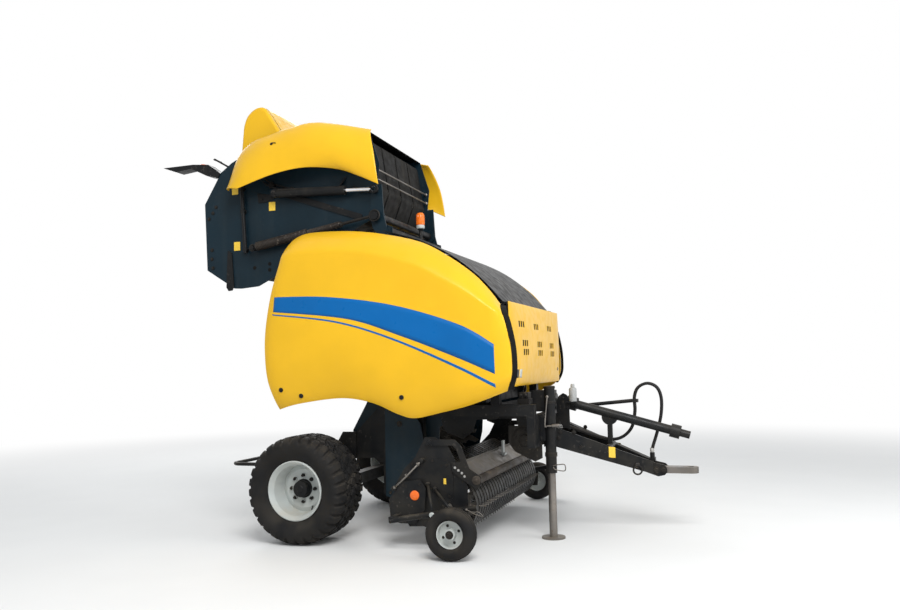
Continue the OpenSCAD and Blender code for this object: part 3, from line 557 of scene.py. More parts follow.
class NodeBench:
    """Lays nodes into one material's tree."""

    def __init__(self, name: str) -> None:
        """Starts a material with its shader and output.

        Args:
            name: name of the material.
        """
        self.material = bpy.data.materials.new(name)
        self.material.use_nodes = True
        self.tree = self.material.node_tree
        self.shader = self.tree.nodes["Principled BSDF"]
        self.place = self.add("ShaderNodeTexCoord")

    def add(self, kind: str, **values: object) -> bpy.types.Node:
        """Adds a node and sets its attributes.

        Args:
            kind: type of the node.
            values: attributes and what they get.

        Returns:
            The new node.
        """
        node = self.tree.nodes.new(kind)
        for key, value in values.items():
            setattr(node, key, value)
        return node

    def link(self, source: Socket, target: Socket) -> None:
        """Joins two sockets."""
        self.tree.links.new(source, target)

    def noise(self, cloud: Cloud) -> Socket:
        """Noise over the piece's own coordinates.

        Args:
            cloud: its grain, octaves and factors.

        Returns:
            The noise's value.
        """
        node = self.add("ShaderNodeTexNoise")
        node.inputs["Scale"].default_value = cloud.scale
        node.inputs["Detail"].default_value = cloud.detail
        mapping = self.add("ShaderNodeMapping")
        mapping.inputs["Scale"].default_value = cloud.stretch
        self.link(self.place.outputs["Object"], mapping.inputs["Vector"])
        self.link(mapping.outputs["Vector"], node.inputs["Vector"])
        return node.outputs["Fac"]

    def spread(self, value: Socket, low: float, high: float, to_low: float = 0.0,
               to_high: float = 1.0) -> Socket:
        """Maps a stretch of a value to another stretch, clamped.

        Args:
            value: what is mapped.
            low: start of its stretch.
            high: end of its stretch.
            to_low: result at low.
            to_high: result at high.

        Returns:
            The mapped value.
        """
        node = self.add("ShaderNodeMapRange", clamp=True, interpolation_type="SMOOTHSTEP")
        for key, number in (("From Min", low), ("From Max", high), ("To Min", to_low), ("To Max", to_high)):
            node.inputs[key].default_value = number
        self.link(value, node.inputs["Value"])
        return node.outputs["Result"]

    def cloudy(self, cloud: Cloud, to_low: float = 0.0, to_high: float = 1.0) -> Socket:
        """Value that follows a cloud, from to_low in its thin places to to_high in its dense ones."""
        return self.spread(self.noise(cloud), cloud.low, cloud.high, to_low, to_high)

    def times(self, a: Socket, b: Socket | float) -> Socket:
        """Product of two values."""
        return self.math("MULTIPLY", a, b)

    def math(self, operation: str, a: Socket, b: Socket | float) -> Socket:
        """Result of a sum on two values.

        Args:
            operation: the sum's name.
            a: first value.
            b: second value, a socket or a number.

        Returns:
            The result.
        """
        node = self.add("ShaderNodeMath", operation=operation)
        self.link(a, node.inputs[0])
        if isinstance(b, (int, float)):
            node.inputs[1].default_value = b
        else:
            self.link(b, node.inputs[1])
        return node.outputs[0]

    def mix(self, share: Socket, a: Socket | Point, b: Socket | Point) -> Socket:
        """Colour between two colours.

        Args:
            share: 0 gives the first and 1 the second.
            a: a colour or a socket.
            b: a colour or a socket.

        Returns:
            The mixed colour.
        """
        first, second, result = 6, 7, 2
        node = self.add("ShaderNodeMix", data_type="RGBA")
        self.link(share, node.inputs["Factor"])
        for key, colour in ((first, a), (second, b)):
            if isinstance(colour, Socket):
                self.link(colour, node.inputs[key])
            else:
                node.inputs[key].default_value = (*colour, 1)
        return node.outputs[result]

    def z_of(self, output: str) -> Socket:
        """Z of one of the piece's own coordinates."""
        parts = self.add("ShaderNodeSeparateXYZ")
        self.link(self.place.outputs[output], parts.inputs["Vector"])
        return parts.outputs["Z"]

    def facing_up(self) -> Socket:
        """How far the piece's own surface faces up, from 0 to 1."""
        return self.spread(self.z_of("Normal"), 0.1, 0.95)

    def height(self) -> Socket:
        """Height over the ground, in metres, at rest."""
        return self.z_of("Object")

    def bump(self, value: Socket, depth: float, strength: float = 0.6) -> None:
        """Raises the surface by a value.

        Args:
            value: height of the relief, from 0 to 1.
            depth: relief in metres.
            strength: share of the relief that counts.
        """
        node = self.add("ShaderNodeBump")
        node.inputs["Strength"].default_value = strength
        node.inputs["Distance"].default_value = depth
        self.link(value, node.inputs["Height"])
        self.link(node.outputs["Normal"], self.shader.inputs["Normal"])


# Clouds that every finish shares.
SHADE_PATCHES = Cloud(2.3, 5, 0.3, 0.7)
GLOSS_PATCHES = Cloud(14, 6, 0.3, 0.75)
CHIPS = Cloud(38, 9, 0.6, 0.66)
CHIPPED_AREAS = Cloud(3.1, 3, 0.45, 0.62)
DUST_CLOUD = Cloud(7, 8, 0.32, 0.72)
DUST_STREAKS = Cloud(9, 5, 0.5, 0.75, (1, 1, 0.12))


@dataclass(frozen=True)
class Finish:
    """A surface of one colour family, with dust, patches, grain and worn spots."""

    name: str
    colour: Point
    dust: Point = (0.5, 0.42, 0.3)
    dust_amount: float = 0.05
    patches: float = 0.2
    roughness: float = 0.42
    metallic: float = 0.0
    coat: float = 0.0
    coat_roughness: float = 0.12
    gloss: float = 0.25
    grain: float = 900.0
    grain_depth: float = 0.0002
    wear: Point | None = None
    wear_amount: float = 0.0

    def material(self) -> bpy.types.Material:
        """Material of this finish, built once."""
        done = bpy.data.materials.get(f"finish_{self.name}")
        return done or self.build()

    def dusted(self, bench: NodeBench) -> Socket:
        """Share of dust: a film on what faces up and lies low, and streaks down the sides.

        Args:
            bench: where the nodes are laid.

        Returns:
            The share.
        """
        low, high, thinnest, most, upright = 0.15, 1.5, 0.25, 0.85, 0.35
        low_down = bench.spread(bench.height(), low, high, 1.0, thinnest)
        cloud = bench.cloudy(DUST_CLOUD)
        flat = bench.math("ADD", bench.times(bench.facing_up(), 0.9), upright)
        film = bench.times(bench.times(bench.times(cloud, flat), low_down), self.dust_amount * 1.6)
        streaks = bench.times(bench.cloudy(DUST_STREAKS), self.dust_amount * 0.25)
        return bench.math("MINIMUM", bench.math("ADD", film, streaks), most)

    def build(self) -> bpy.types.Material:
        """Builds the node tree.

        Returns:
            The new material.
        """
        bench = NodeBench(f"finish_{self.name}")
        inputs = bench.shader.inputs
        deep = tuple(c * (1 - self.patches) for c in self.colour)
        light = tuple(min(1.0, c * (1 + self.patches * 0.6)) for c in self.colour)
        colour = bench.mix(bench.cloudy(SHADE_PATCHES), deep, light)
        rough = bench.cloudy(GLOSS_PATCHES, self.roughness * 0.8, min(1.0, self.roughness * 1.25))
        if self.wear is not None:
            chips = bench.times(bench.cloudy(CHIPS), bench.cloudy(CHIPPED_AREAS))
            colour = bench.mix(bench.times(chips, self.wear_amount), colour, self.wear)
        if self.dust_amount:
            dusty = self.dusted(bench)
            colour = bench.mix(dusty, colour, self.dust)
            rough = bench.math("MINIMUM", bench.math("ADD", rough, bench.times(dusty, 0.55)), 0.95)
        bench.link(colour, inputs["Base Color"])
        bench.link(rough, inputs["Roughness"])
        for key, value in (("Metallic", self.metallic), ("Specular IOR Level", self.gloss),
                           ("Coat Weight", self.coat), ("Coat Roughness", self.coat_roughness)):
            inputs[key].default_value = value
        if self.grain_depth:
            bench.bump(bench.noise(Cloud(self.grain, detail=3)), self.grain_depth)
        return bench.material

    def dress(self, *objects: Piece) -> None:
        """Gives this finish to the objects as their only material."""
        for obj in objects:
            obj.data.materials.clear()
            obj.data.materials.append(self.material())


YELLOW = Finish("yellow_gelcoat", (0.8, 0.455, 0.014), dust_amount=0.02, patches=0.05, roughness=0.36,
                coat=0.08, gloss=0.2, grain=9)
BLUE = Finish("blue_film", (0.002, 0.115, 0.36), dust_amount=0.02, patches=0.06, roughness=0.34, gloss=0.15,
              grain=80, grain_depth=0.00005)
BLACK = Finish("black_paint", (0.0075, 0.0083, 0.0095), dust_amount=0.06, patches=0.25,
               gloss=0.14, wear=(0.13, 0.115, 0.1), wear_amount=0.3)
SLATE = Finish("slate_paint", (0.006, 0.0175, 0.0265), dust_amount=0.03, roughness=0.38,
               gloss=0.14, wear=(0.06, 0.06, 0.06), wear_amount=0.12)
PALE = Finish("rim_paint", (0.5, 0.53, 0.515), dust_amount=0.22, patches=0.06, roughness=0.36, coat=0.1)
STEEL = Finish("worn_steel", (0.2, 0.185, 0.17), dust_amount=0.14, patches=0.25,
               metallic=0.85, wear=(0.15, 0.09, 0.05), wear_amount=0.6, grain=240)
CHROME = Finish("chrome", (0.8, 0.8, 0.82), patches=0.04, roughness=0.1, metallic=1.0,
                grain_depth=0)
BROWN = Finish("weathered_steel", (0.036, 0.029, 0.025), dust_amount=0.14, patches=0.35, roughness=0.55,
               metallic=0.3, wear=(0.22, 0.19, 0.16), wear_amount=0.5, grain=320)
TYRE = Finish("tyre_rubber", (0.011, 0.011, 0.0115), dust=(0.2, 0.17, 0.13), dust_amount=0.13,
              roughness=0.75, gloss=0.14, grain=420, grain_depth=0.0004)
BELT = Finish("belt_rubber", (0.01, 0.01, 0.01), dust_amount=0.08, roughness=0.7, gloss=0.14,
              grain=500, grain_depth=0.0004)
PLASTIC = Finish("guard_plastic", (0.008, 0.009, 0.01), patches=0.15, gloss=0.2, grain=260)
SEAL = Finish("rubber_seal", (0.004, 0.004, 0.004), dust_amount=0.03, patches=0.1, roughness=0.6, gloss=0.1)
LENS = Finish("orange_lens", (0.95, 0.2, 0.01), dust_amount=0.03, patches=0.08, roughness=0.14, coat=0.4,
              grain=90, grain_depth=0.0003)
REFLECTOR = Finish("orange_reflector", (0.9, 0.16, 0.012), dust_amount=0.06, patches=0.05, roughness=0.25,
                   coat=0.4, grain=700, grain_depth=0.0004)
LABEL = Finish("yellow_plate", (0.85, 0.56, 0.06), dust_amount=0.08, patches=0.05, roughness=0.4)
GALVANISED = Finish("galvanised", (0.46, 0.46, 0.45), dust_amount=0.25, roughness=0.45, metallic=0.6,
                    grain=120)
HOSE = Finish("hose_rubber", (0.007, 0.007, 0.008), patches=0.15, roughness=0.5, gloss=0.18,
              grain=700)
CANISTER = Finish("pale_plastic", (0.36, 0.37, 0.37), dust_amount=0.2, patches=0.08, roughness=0.45,
                  grain=300)
DARK_IRON = Finish("dark_iron", (0.016, 0.015, 0.0145), dust_amount=0.08, patches=0.3, roughness=0.5,
                   metallic=0.4, gloss=0.2, wear=(0.16, 0.13, 0.1), wear_amount=0.4, grain=300)


def both(*words: str) -> tuple[str, ...]:
    """Names of the right and the left node of each word."""
    return tuple(f"{word}_{side.word}" for word in words for side in Side)


@dataclass
class NodeDress:
    """Gives every node of the frame its finish."""

    finishes: dict[Finish, tuple[str, ...]] = field(default_factory=lambda: {
        BLACK: ("axle", "chassis", "cross_sheets", "drawbar", "gearbox", "hose_arm", "jack_tube", "net_box",
                "top_cover", "bale_ramp", "gate_frame", "gate_lamps", "gate_locks", *both("gate_cylinder"),
                "pickup_frame", "pickup_bands"),
        SLATE: ("side_covers", *both("side_wall", "gate_side")),
        YELLOW: ("front_panel", "gate_hood", *both("shield", "gate_panel")),
        STEEL: ("hitch_eye", "jack_leg", "feed_rotor", "feed_floor", "chamber_rollers", "gate_rollers",
                "chain_drive", "pickup_reel"),
        CHROME: both("gate_rod"),
        BROWN: ("gate_springs", "windguard"),
        TYRE: both("tyre", "gauge_tyre"),
        PALE: both("rim", "gauge_rim"),
        BELT: ("front_belts", "gate_belts", *both("hose")),
        PLASTIC: ("drive_shaft",),
        LENS: ("beacon",),
    })

    def dress(self) -> None:
        """Sets the finish of each node."""
        for finish, names in self.finishes.items():
            for name in names:
                finish.dress(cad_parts[name])
                log.info("finish %s on %s", finish.name, name)


def add_piece(obj: Piece, body: str, finish: Finish,
              replaces: tuple[str, ...] = ()) -> Piece:
    """Dresses a piece, lets it ride and reports it.

    Args:
        obj: the piece, in place.
        body: body that carries it.
        finish: its finish.
        replaces: nodes that it stands for.

    Returns:
        The same piece.
    """
    finish.dress(obj)
    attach(obj, body)
    if replaces:
        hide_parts(*replaces)
    log.info("piece %s on %s", obj.name, body)
    return obj


def fit(name: str, parts: Sequence[Piece], body: str, finish: Finish, replaces: tuple[str, ...] = ()) -> None:
    """Joins meshes into one piece, dresses it and lets it ride."""
    add_piece(joined(name, parts), body, finish, replaces)


@dataclass
class Sided:
    """Sub-assembly on one side of the machine."""

    side: Side

    @property
    def word(self) -> str:
        """Name of the side in piece and body names."""
        return self.side.word

    @property
    def out(self) -> Vector:
        """Way off the machine on this side."""
        return Vector((0, self.side.value, 0))

    def spot(self, x: float, y: float, z: float) -> Vector:
        """Point of the frame, y counted away from the centreline on this side."""
        return at(x, self.side.value * y, z)

    def turned(self, name: str, profile: Profile, seat: Vector, segments: int = 24) -> Piece:
        """Piece turned from a profile on an axis that faces out on this side."""
        return lathed(name, profile, seat, self.out, segments)

    def facing_out(self, grid: Grid) -> Grid:
        """Skin from rear to front, in the order that turns its outer face off this side."""
        return grid[::-1] if self.side is Side.LEFT else grid


@dataclass
class SideShield(Sided):
    """Moulded side shield with its blue band, thin line, black fore strip and latches."""

    reach: float = 1.165
    thickness: float = 0.006
    edge: float = 0.0025
    cols: int = 84
    rows: int = 70
    row_ease: float = 1.15
    # Edges of the panel, as machine x and z: top and low from rear to front, rear and fore from top down.
    top: Profile = (
        (-0.12, 2.53), (0.04, 2.552), (0.37, 2.54), (0.68, 2.494), (1.03, 2.4), (1.28, 2.26), (1.48, 2.11),
        (1.62, 1.96), (1.68, 1.87))
    low: Profile = (
        (-0.21, 1.07), (0.0, 1.12), (0.37, 1.16), (0.64, 1.12), (0.86, 1.03), (1.0, 1.0), (1.21, 1.04),
        (1.46, 1.1), (1.74, 1.2))
    rear: Profile = (
        (-0.12, 2.53), (-0.152, 2.33), (-0.237, 2.06), (-0.29, 1.8), (-0.308, 1.57), (-0.285, 1.3),
        (-0.21, 1.07))
    fore: Profile = ((1.68, 1.87), (1.74, 1.76), (1.785, 1.56), (1.795, 1.4), (1.785, 1.3), (1.74, 1.2))
    # How far the outer face draws in, in metres, and the shares of the panel where it starts.
    top_inset: float = 0.235
    top_inset_taper: float = 0.09
    top_inset_power: float = 1.35
    top_share: float = 0.17
    low_inset: float = 0.06
    low_start: float = 0.75
    fore_inset: float = 0.04
    fore_start: float = 0.88
    rear_inset: float = 0.03
    rear_share: float = 0.1
    crown: float = 0.014
    # The left panel is shorter at its fore edge.
    left_cut: float = 0.07
    left_cut_power: int = 8
    band_top: Profile = ((-0.2, 1.998), (0.294, 1.976), (0.858, 1.886), (1.39, 1.718), (1.67, 1.557))
    band_low: Profile = ((-0.21, 1.875), (0.46, 1.792), (0.921, 1.642), (1.384, 1.46), (1.672, 1.333))
    line_top: Profile = ((-0.218, 1.858), (0.362, 1.779), (0.853, 1.628), (1.382, 1.402), (1.669, 1.258))
    line_low: Profile = ((-0.218, 1.848), (0.362, 1.765), (0.853, 1.611), (1.382, 1.38), (1.669, 1.231))
    film_cols: int = 80
    film_rows: int = 6
    film_thickness: float = 0.0006
    film_lift: float = 0.0009
    # Black folded strip along the fore edge: its width, its fold off the panel and its steps along the edge.
    seal_width: float = 0.05
    seal_fold: float = 0.004
    seal_steps: int = 60
    latch_places: Profile = ((-0.155, 1.235), (0.02, 1.185), (0.91, 1.165))
    latch: Profile = ((0.019, -0.004), (0.019, 0.004), (0.015, 0.007), (0.006, 0.0075))
    key_half: Flat = (0.013, 0.003)
    tree: BVHTree | None = None

    def depth(self, u: float, v: float) -> float:
        """Distance of the outer face from the centreline.

        Args:
            u: share of the way from rear to front.
            v: share of the way from top to bottom.

        Returns:
            The distance in metres.
        """
        top_width = self.top_inset - self.top_inset_taper * u
        inset = top_width * max(0.0, 1 - v / self.top_share) ** self.top_inset_power
        low_share = max(0.0, (v - self.low_start) / (1 - self.low_start))
        fore_share = max(0.0, (u - self.fore_start) / (1 - self.fore_start))
        inset += self.low_inset * low_share ** 2 + self.fore_inset * fore_share ** 2
        inset += self.rear_inset * max(0.0, 1 - u / self.rear_share) ** 2 + self.crown * (2 * v - 1) ** 2
        return self.reach - inset

    def point(self, u: float, v: float) -> Vector:
        """Point of the outer face.

        Args:
            u: share of the way from rear to front.
            v: share of the way from top to bottom.

        Returns:
            The point in the frame.
        """
        x, z = edge_patch(self.top, self.low, self.rear, self.fore, u, v)
        cut = self.left_cut * u ** self.left_cut_power if self.side is Side.LEFT else 0.0
        return self.spot(x - cut, self.depth(u, v), z)

    def build(self) -> None:
        """Builds the panel, the band, the line, the black fore strip and the latches."""
        grid = skin(self.cols, self.rows, lambda u, v: self.point(u, v ** self.row_ease))
        panel = sheet_object(f"shield_panel_{self.word}", self.facing_out(grid), self.thickness, self.edge)
        panel.data.validate()
        polygons = [p.vertices for p in panel.data.polygons]
        self.tree = BVHTree.FromPolygons([v.co for v in panel.data.vertices], polygons)
        body = f"shield_{self.word}_door"
        add_piece(panel, body, YELLOW, (f"shield_{self.word}",))
        add_piece(self.film("band", self.band_top, self.band_low), body, BLUE)
        add_piece(self.film("line", self.line_top, self.line_low), body, BLUE)
        add_piece(self.seal(), body, SEAL)
        add_piece(self.latches(), body, BLACK)

    def seal(self) -> Piece:
        """Black folded strip along the panel's fore edge, reaching forward and in.

        Returns:
            The strip's piece.
        """
        start, run = 0.04, 0.93
        ahead = Vector((self.seal_width * 0.62, -self.side.value * self.seal_width * 0.75, 0))
        grid = []
        for i in range(self.seal_steps + 1):
            root = self.point(1, start + run * i / self.seal_steps)
            fold = root + Vector((self.seal_fold, -self.side.value * self.seal_fold, 0))
            grid.append([fold, fold + ahead * 0.35 + Vector((self.seal_fold, 0, 0)), fold + ahead])
        if self.side is Side.RIGHT:
            grid.reverse()
        return sheet_object(f"shield_seal_{self.word}", grid, 0.005, 0.001)

    def latches(self) -> Piece:
        """Quarter-turn latches near the panel's low edge.

        Returns:
            The latches as one piece.
        """
        parts = []
        for i, place in enumerate(self.latch_places):
            seat = self.cast(Vector(place))
            word = f"shield_latch_{self.word}_{i}"
            parts.append(self.turned(word, self.latch, seat, 20))
            key = [seat + Vector((dx, self.side.value * 0.006, dz)) for dx, dz in rectangle(*self.key_half)]
            parts.append(plate_object(f"{word}_key", key, self.out * 0.005, 0.0008))
        return joined(f"shield_latches_{self.word}", parts)

    def film(self, word: str, top: Profile, low: Profile) -> Piece:
        """Thin film that lies on the panel.

        Args:
            word: name of the film.
            top: its upper edge.
            low: its lower edge.

        Returns:
            The film's piece.
        """
        grid = skin(self.film_cols, self.film_rows,
                    lambda u, v: self.cast(smooth_curve(top, u).lerp(smooth_curve(low, u), v)))
        return sheet_object(f"shield_{word}_{self.word}", self.facing_out(grid), self.film_thickness)

    def cast(self, place: Vector) -> Vector:
        """Point just outside the panel.

        Args:
            place: machine x and z.

        Returns:
            The point in the frame.
        """
        outside = 1.6
        hit, normal, _, _ = self.tree.ray_cast(self.spot(place[0], outside, place[1]), -self.out)
        if hit is None:
            hit, normal, _, _ = self.tree.find_nearest(self.spot(place[0], self.reach, place[1]))
        if normal.y * self.side.value < 0:
            normal = -normal
        return hit + normal * self.film_lift


@dataclass
class FreeHoses:
    """Two hoses from the front beam, over the arm's guide, to their holder on the nose."""

    radius: float = 0.013
    pitch: float = 0.03
    route: tuple[Point, ...] = (
        (1.8756, 0.118, 0.850), (1.9203, 0.118, 0.850), (1.975, 0.118, 0.846), (2.060, 0.118, 0.820),
        (2.220, 0.118, 0.766), (2.35015, 0.118, 0.738), (2.450, 0.118, 0.768), (2.522, 0.118, 0.850),
        (2.550, 0.118, 0.980), (2.550, 0.118, 1.100), (2.584, 0.118, 1.180), (2.662, 0.118, 1.214),
        (2.740, 0.112, 1.180), (2.774, 0.106, 1.090), (2.768, 0.096, 0.950), (2.730, 0.086, 0.800),
        (2.697, 0.081, 0.700), (2.685, 0.080, 0.650), (2.685, 0.080, 0.620), (2.685, 0.080, 0.593))
    nut: Profile = ((0.0185, 0.0005), (0.0185, 0.016))
    cuff: Profile = ((0.0155, 0.014), (0.0165, 0.02), (0.0165, 0.042), (0.0142, 0.048))
    tail: Profile = ((0.0142, 0.044), (0.0165, 0.05), (0.0165, 0.074), (0.0145, 0.08))

    def build(self) -> None:
        """Lays both hoses with their ferrules."""
        for side in Side:
            self.lay(side)

    def curve(self, name: str, points: Sequence[Vector]) -> Piece:
        """Hose as a curve of one open spline.

        Args:
            name: name of the piece.
            points: points of its route.

        Returns:
            The hose.
        """
        last = len(points) - 1
        data = bpy.data.curves.new(name, "CURVE")
        data.dimensions = "3D"
        data.bevel_depth = self.radius
        data.bevel_resolution = 4
        data.resolution_u = 10
        data.use_fill_caps = True
        spline = data.splines.new("BEZIER")
        spline.bezier_points.add(last)
        for i, knot in enumerate(spline.bezier_points):
            reach = (points[min(i + 1, last)] - points[max(i - 1, 0)]) / 6
            knot.co, knot.handle_left, knot.handle_right = points[i], points[i] - reach, points[i] + reach
        return put_in(name, data)

    def lay(self, side: Side) -> None:
        """Lays one hose.

        Args:
            side: which of the two it is.
        """
        points = [at(x, y + side.value * self.pitch / 2, z) for x, y, z in self.route]
        hose = self.curve(f"free_hose_{side.word}", points)
        add_piece(hose, "frame", HOSE, (f"hose_{side.word}",))
        root, tip = (points[0], points[1] - points[0]), (points[-1], points[-2] - points[-1])
        ferrules = joined(f"hose_ferrules_{side.word}", [
            lathed("nut", self.nut, *root, 6),
            lathed("cuff", self.cuff, *root, 20),
            lathed("tail", self.tail, *tip, 20)])
        add_piece(ferrules, "frame", GALVANISED)
        line = rounded_path(points, 400)
        length = sum((b - a).length for a, b in zip(line, line[1:]))


@dataclass
class FrontPanel:
    """Front panel with its louvre slots, frame, hinges, blank plates and lock."""

    front_x: float = 1.736
    bulge: float = 0.042
    half: float = 0.95
    low: float = 1.228
    high: float = 1.893
    thickness: float = 0.0035
    cols: int = 84
    rows: int = 56
    # Middles of the groups of three slots, as y and z.
    slots: Profile = (
        (-0.663, 1.723), (-0.159, 1.717), (0.379, 1.718), (-0.579, 1.572), (-0.062, 1.568), (0.445, 1.562),
        (-0.554, 1.499), (-0.032, 1.494), (0.479, 1.488))
    slot_pitch: float = 0.062
    slot_half: Flat = (0.024, 0.025)
    slot_depth: Flat = (1.7, 1.83)
    # Frame behind the sheet, as y from and to, z from and to.
    rails: tuple[tuple[float, float, float, float], ...] = (
        (-0.942, 0.942, 1.236, 1.288), (-0.942, 0.942, 1.833, 1.885), (-0.942, -0.89, 1.288, 1.833),
        (0.89, 0.942, 1.288, 1.833))
    rail_depth: float = 0.014
    lug: Flat = (0.7, 0.74)
    eye: Profile = ((0.0082, 0), (0.012, 0), (0.012, 0.04), (0.0082, 0.04))
    eye_place: Flat = (1.704, 1.894)
    # Black sheet behind the slotted sheet, painted shade of the inside seen through the slots: share of the
    # half width it spans, and share left free at top and at bottom.
    backing: Flat = (0.93, 0.09)
    # Blank plates: word, y from and to, finish.
    plates: tuple[tuple[str, float, float, Finish], ...] = (
        ("dark", -0.845, -0.76, BLACK), ("pale", -0.735, -0.67, PALE))
    plate_rows: tuple[float, ...] = (0.8, 0.825, 0.85, 0.875, 0.9)
    lock: Profile = ((0.016, -0.002), (0.016, 0.003), (0.012, 0.006), (0.004, 0.0062))
    lock_place: Flat = (0.8, 0.82)

    def point(self, s: float, t: float) -> Vector:
        """Point of the outer face.

        Args:
            s: share of the way across, from -1 on the right to 1 on the left.
            t: share of the way from top to bottom.

        Returns:
            The point in the frame.
        """
        across = max(0.0, 1 - abs(s) ** 5) ** 0.6
        out = self.bulge * across * max(0.0, math.sin(math.pi * t)) ** 0.5
        return at(self.front_x + out, s * self.half, self.high - t * (self.high - self.low))

    def build(self) -> None:
        """Builds the sheet, its frame, a black sheet behind it as painted shade seen through the slots, and
        the small pieces.
        """
        add_piece(self.sheet(), "front_door", YELLOW, ("front_panel",))
        add_piece(self.frame_behind(), "front_door", BLACK)
        # Black sheet just behind the outer sheet: painted shade of the machine's inside, seen through the
        # slots.
        half, top = self.backing
        cols, rows, gap = 40, 20, Vector((0.0045, 0, 0))
        grid = [[self.point(-half + 2 * half * i / cols, top + (1 - 2 * top) * j / rows) - gap
                 for j in range(rows + 1)] for i in range(cols + 1)]
        add_piece(sheet_object("front_backing", grid, 0.0015), "front_door", SEAL)
        self.details()

    def sheet(self) -> Piece:
        """Curved sheet with its slots cut through.

        Returns:
            The sheet.
        """
        ways = [-math.cos(math.pi * i / self.cols) for i in range(self.cols + 1)]
        falls = [0.5 - 0.5 * math.cos(math.pi * j / self.rows) for j in range(self.rows + 1)]
        sheet = sheet_object("front_sheet", [[self.point(s, t) for t in falls] for s in ways], self.thickness)
        (half_y, half_z), (rear, fore) = self.slot_half, self.slot_depth
        cutters = []
        for y, z in self.slots:
            for k in (-1, 0, 1):
                mid = y + k * self.slot_pitch
                low, high = (rear, mid - half_y, z - half_z), (fore, mid + half_y, z + half_z)
                cutters.append(slab("slot", low, high, 0.005))
        cutter = joined("slot_cutters", cutters)
        cut = sheet.modifiers.new("slots", "BOOLEAN")
        cut.operation = "DIFFERENCE"
        cut.object = cutter
        cut.solver = "EXACT"
        settle(sheet)
        bpy.data.objects.remove(cutter)
        sheet.data.set_sharp_from_angle(angle=math.radians(30))
        return sheet

    def frame_behind(self) -> Piece:
        """Frame behind the sheet, with the two lugs and eyes of the hinge.

        Returns:
            The frame as one piece.
        """
        back = self.front_x - self.thickness - 0.0003
        parts = [slab("rail", (back - self.rail_depth, y0, z0), (back, y1, z1), 0.001)
                 for y0, y1, z0, z1 in self.rails]
        for side in Side:
            low_y, high_y = sorted(side.value * y for y in self.lug)
            low, high = (1.692, low_y, self.high - 0.03), (back - 0.001, high_y, self.high - 0.008)
            parts.append(slab("lug", low, high))
            seat = at(self.eye_place[0], low_y, self.eye_place[1])
            parts.append(lathed("eye", self.eye, seat, ACROSS, 24))
        return joined("front_rails", parts)

    def details(self) -> None:
        """Adds the blank plates and the lock."""
        lift = Vector((0.0008, 0, 0))
        for word, y0, y1, finish in self.plates:
            grid = [[self.point(y / self.half, t) + lift for t in self.plate_rows]
                    for y in (y0, (y0 + y1) / 2, y1)]
            add_piece(sheet_object(f"front_plate_{word}", grid, 0.0006), "front_door", finish)
        lock = lathed("front_lock", self.lock, self.point(*self.lock_place), AHEAD, 20)
        add_piece(lock, "front_door", STEEL)


@dataclass
class GatePanel(Sided):
    """Curved side panel of the tailgate."""

    thickness: float = 0.006
    reach: float = 0.872
    cols: int = 72
    rows: int = 36
    # Edges of the panel on the closed tailgate, as machine x and z.
    outer: Profile = (
        (-0.403, 1.54), (-0.616, 1.735), (-0.682, 1.94), (-0.652, 2.13), (-0.598, 2.341), (-0.495, 2.6),
        (-0.174, 3.008))
    inner: Profile = (
        (-0.3, 1.7), (-0.242, 2.058), (-0.151, 2.347), (0.012, 2.602), (0.18, 2.76), (0.348, 2.897))
    low: Profile = ((-0.403, 1.54), (-0.356, 1.617), (-0.3, 1.7))
    fore: Profile = ((-0.174, 3.008), (0.08, 2.975), (0.348, 2.897))
    # How far the outer and the inner edge lean in, and where along the inner edge that is most.
    outer_lean: float = 0.16
    inner_lean: float = 0.07
    lean_middle: float = 0.55
    lean_spread: float = 0.3
    peg_places: Profile = ((0.3, 0.4), (0.75, 0.4))
    clip_place: Flat = (0.42, 0.33)
    clip_base: Profile = ((0.014, -0.003), (0.014, 0.003), (0.01, 0.007), (0.003, 0.0075))

    def point(self, u: float, v: float) -> Vector:
        """Point of the outer face.

        Args:
            u: share of the way from the low end to the fore end.
            v: share of the way from the outer edge in.

        Returns:
            The point in the frame.
        """
        x, z = edge_patch(self.outer, self.inner, self.low, self.fore, u, v)
        lean = self.inner_lean * v ** 3 * math.exp(-((u - self.lean_middle) / self.lean_spread) ** 2)
        y = self.reach - self.outer_lean * (1 - v) ** 3 - lean
        return on_gate(x, self.side.value * y, z)

    def build(self) -> None:
        """Builds the panel, its pegs and its clip."""
        grid = self.facing_out(skin(self.cols, self.rows, self.point))
        panel = sheet_object(f"gate_cowl_{self.word}", grid, self.thickness)
        add_piece(panel, "gate", YELLOW, (f"gate_panel_{self.word}",))
        pegs = []
        for place in self.peg_places:
            seat = self.point(*place)
            end = abs(seat.y) - GATE_FACE - 0.0071
            peg = ((0.022, 0), (0.022, 0.004), (0.012, 0.006), (0.012, end))
            pegs.append(self.turned("peg", peg, Vector((seat.x, self.side.value * GATE_FACE, seat.z))))
        fit(f"gate_pegs_{self.word}", pegs, "gate", BLACK)
        seat = self.point(*self.clip_place)
        tail = [seat + self.out * y + Vector((x, 0, z)) for x, y, z in
                ((0, 0.005, 0), (0.02, 0.008, 0.01), (0.045, 0.004, 0.004))]
        clip = [self.turned("clip_base", self.clip_base, seat, 20), tube("clip_tail", tail, 0.0035, 8)]
        fit(f"gate_clip_{self.word}", clip, "gate", BLACK)


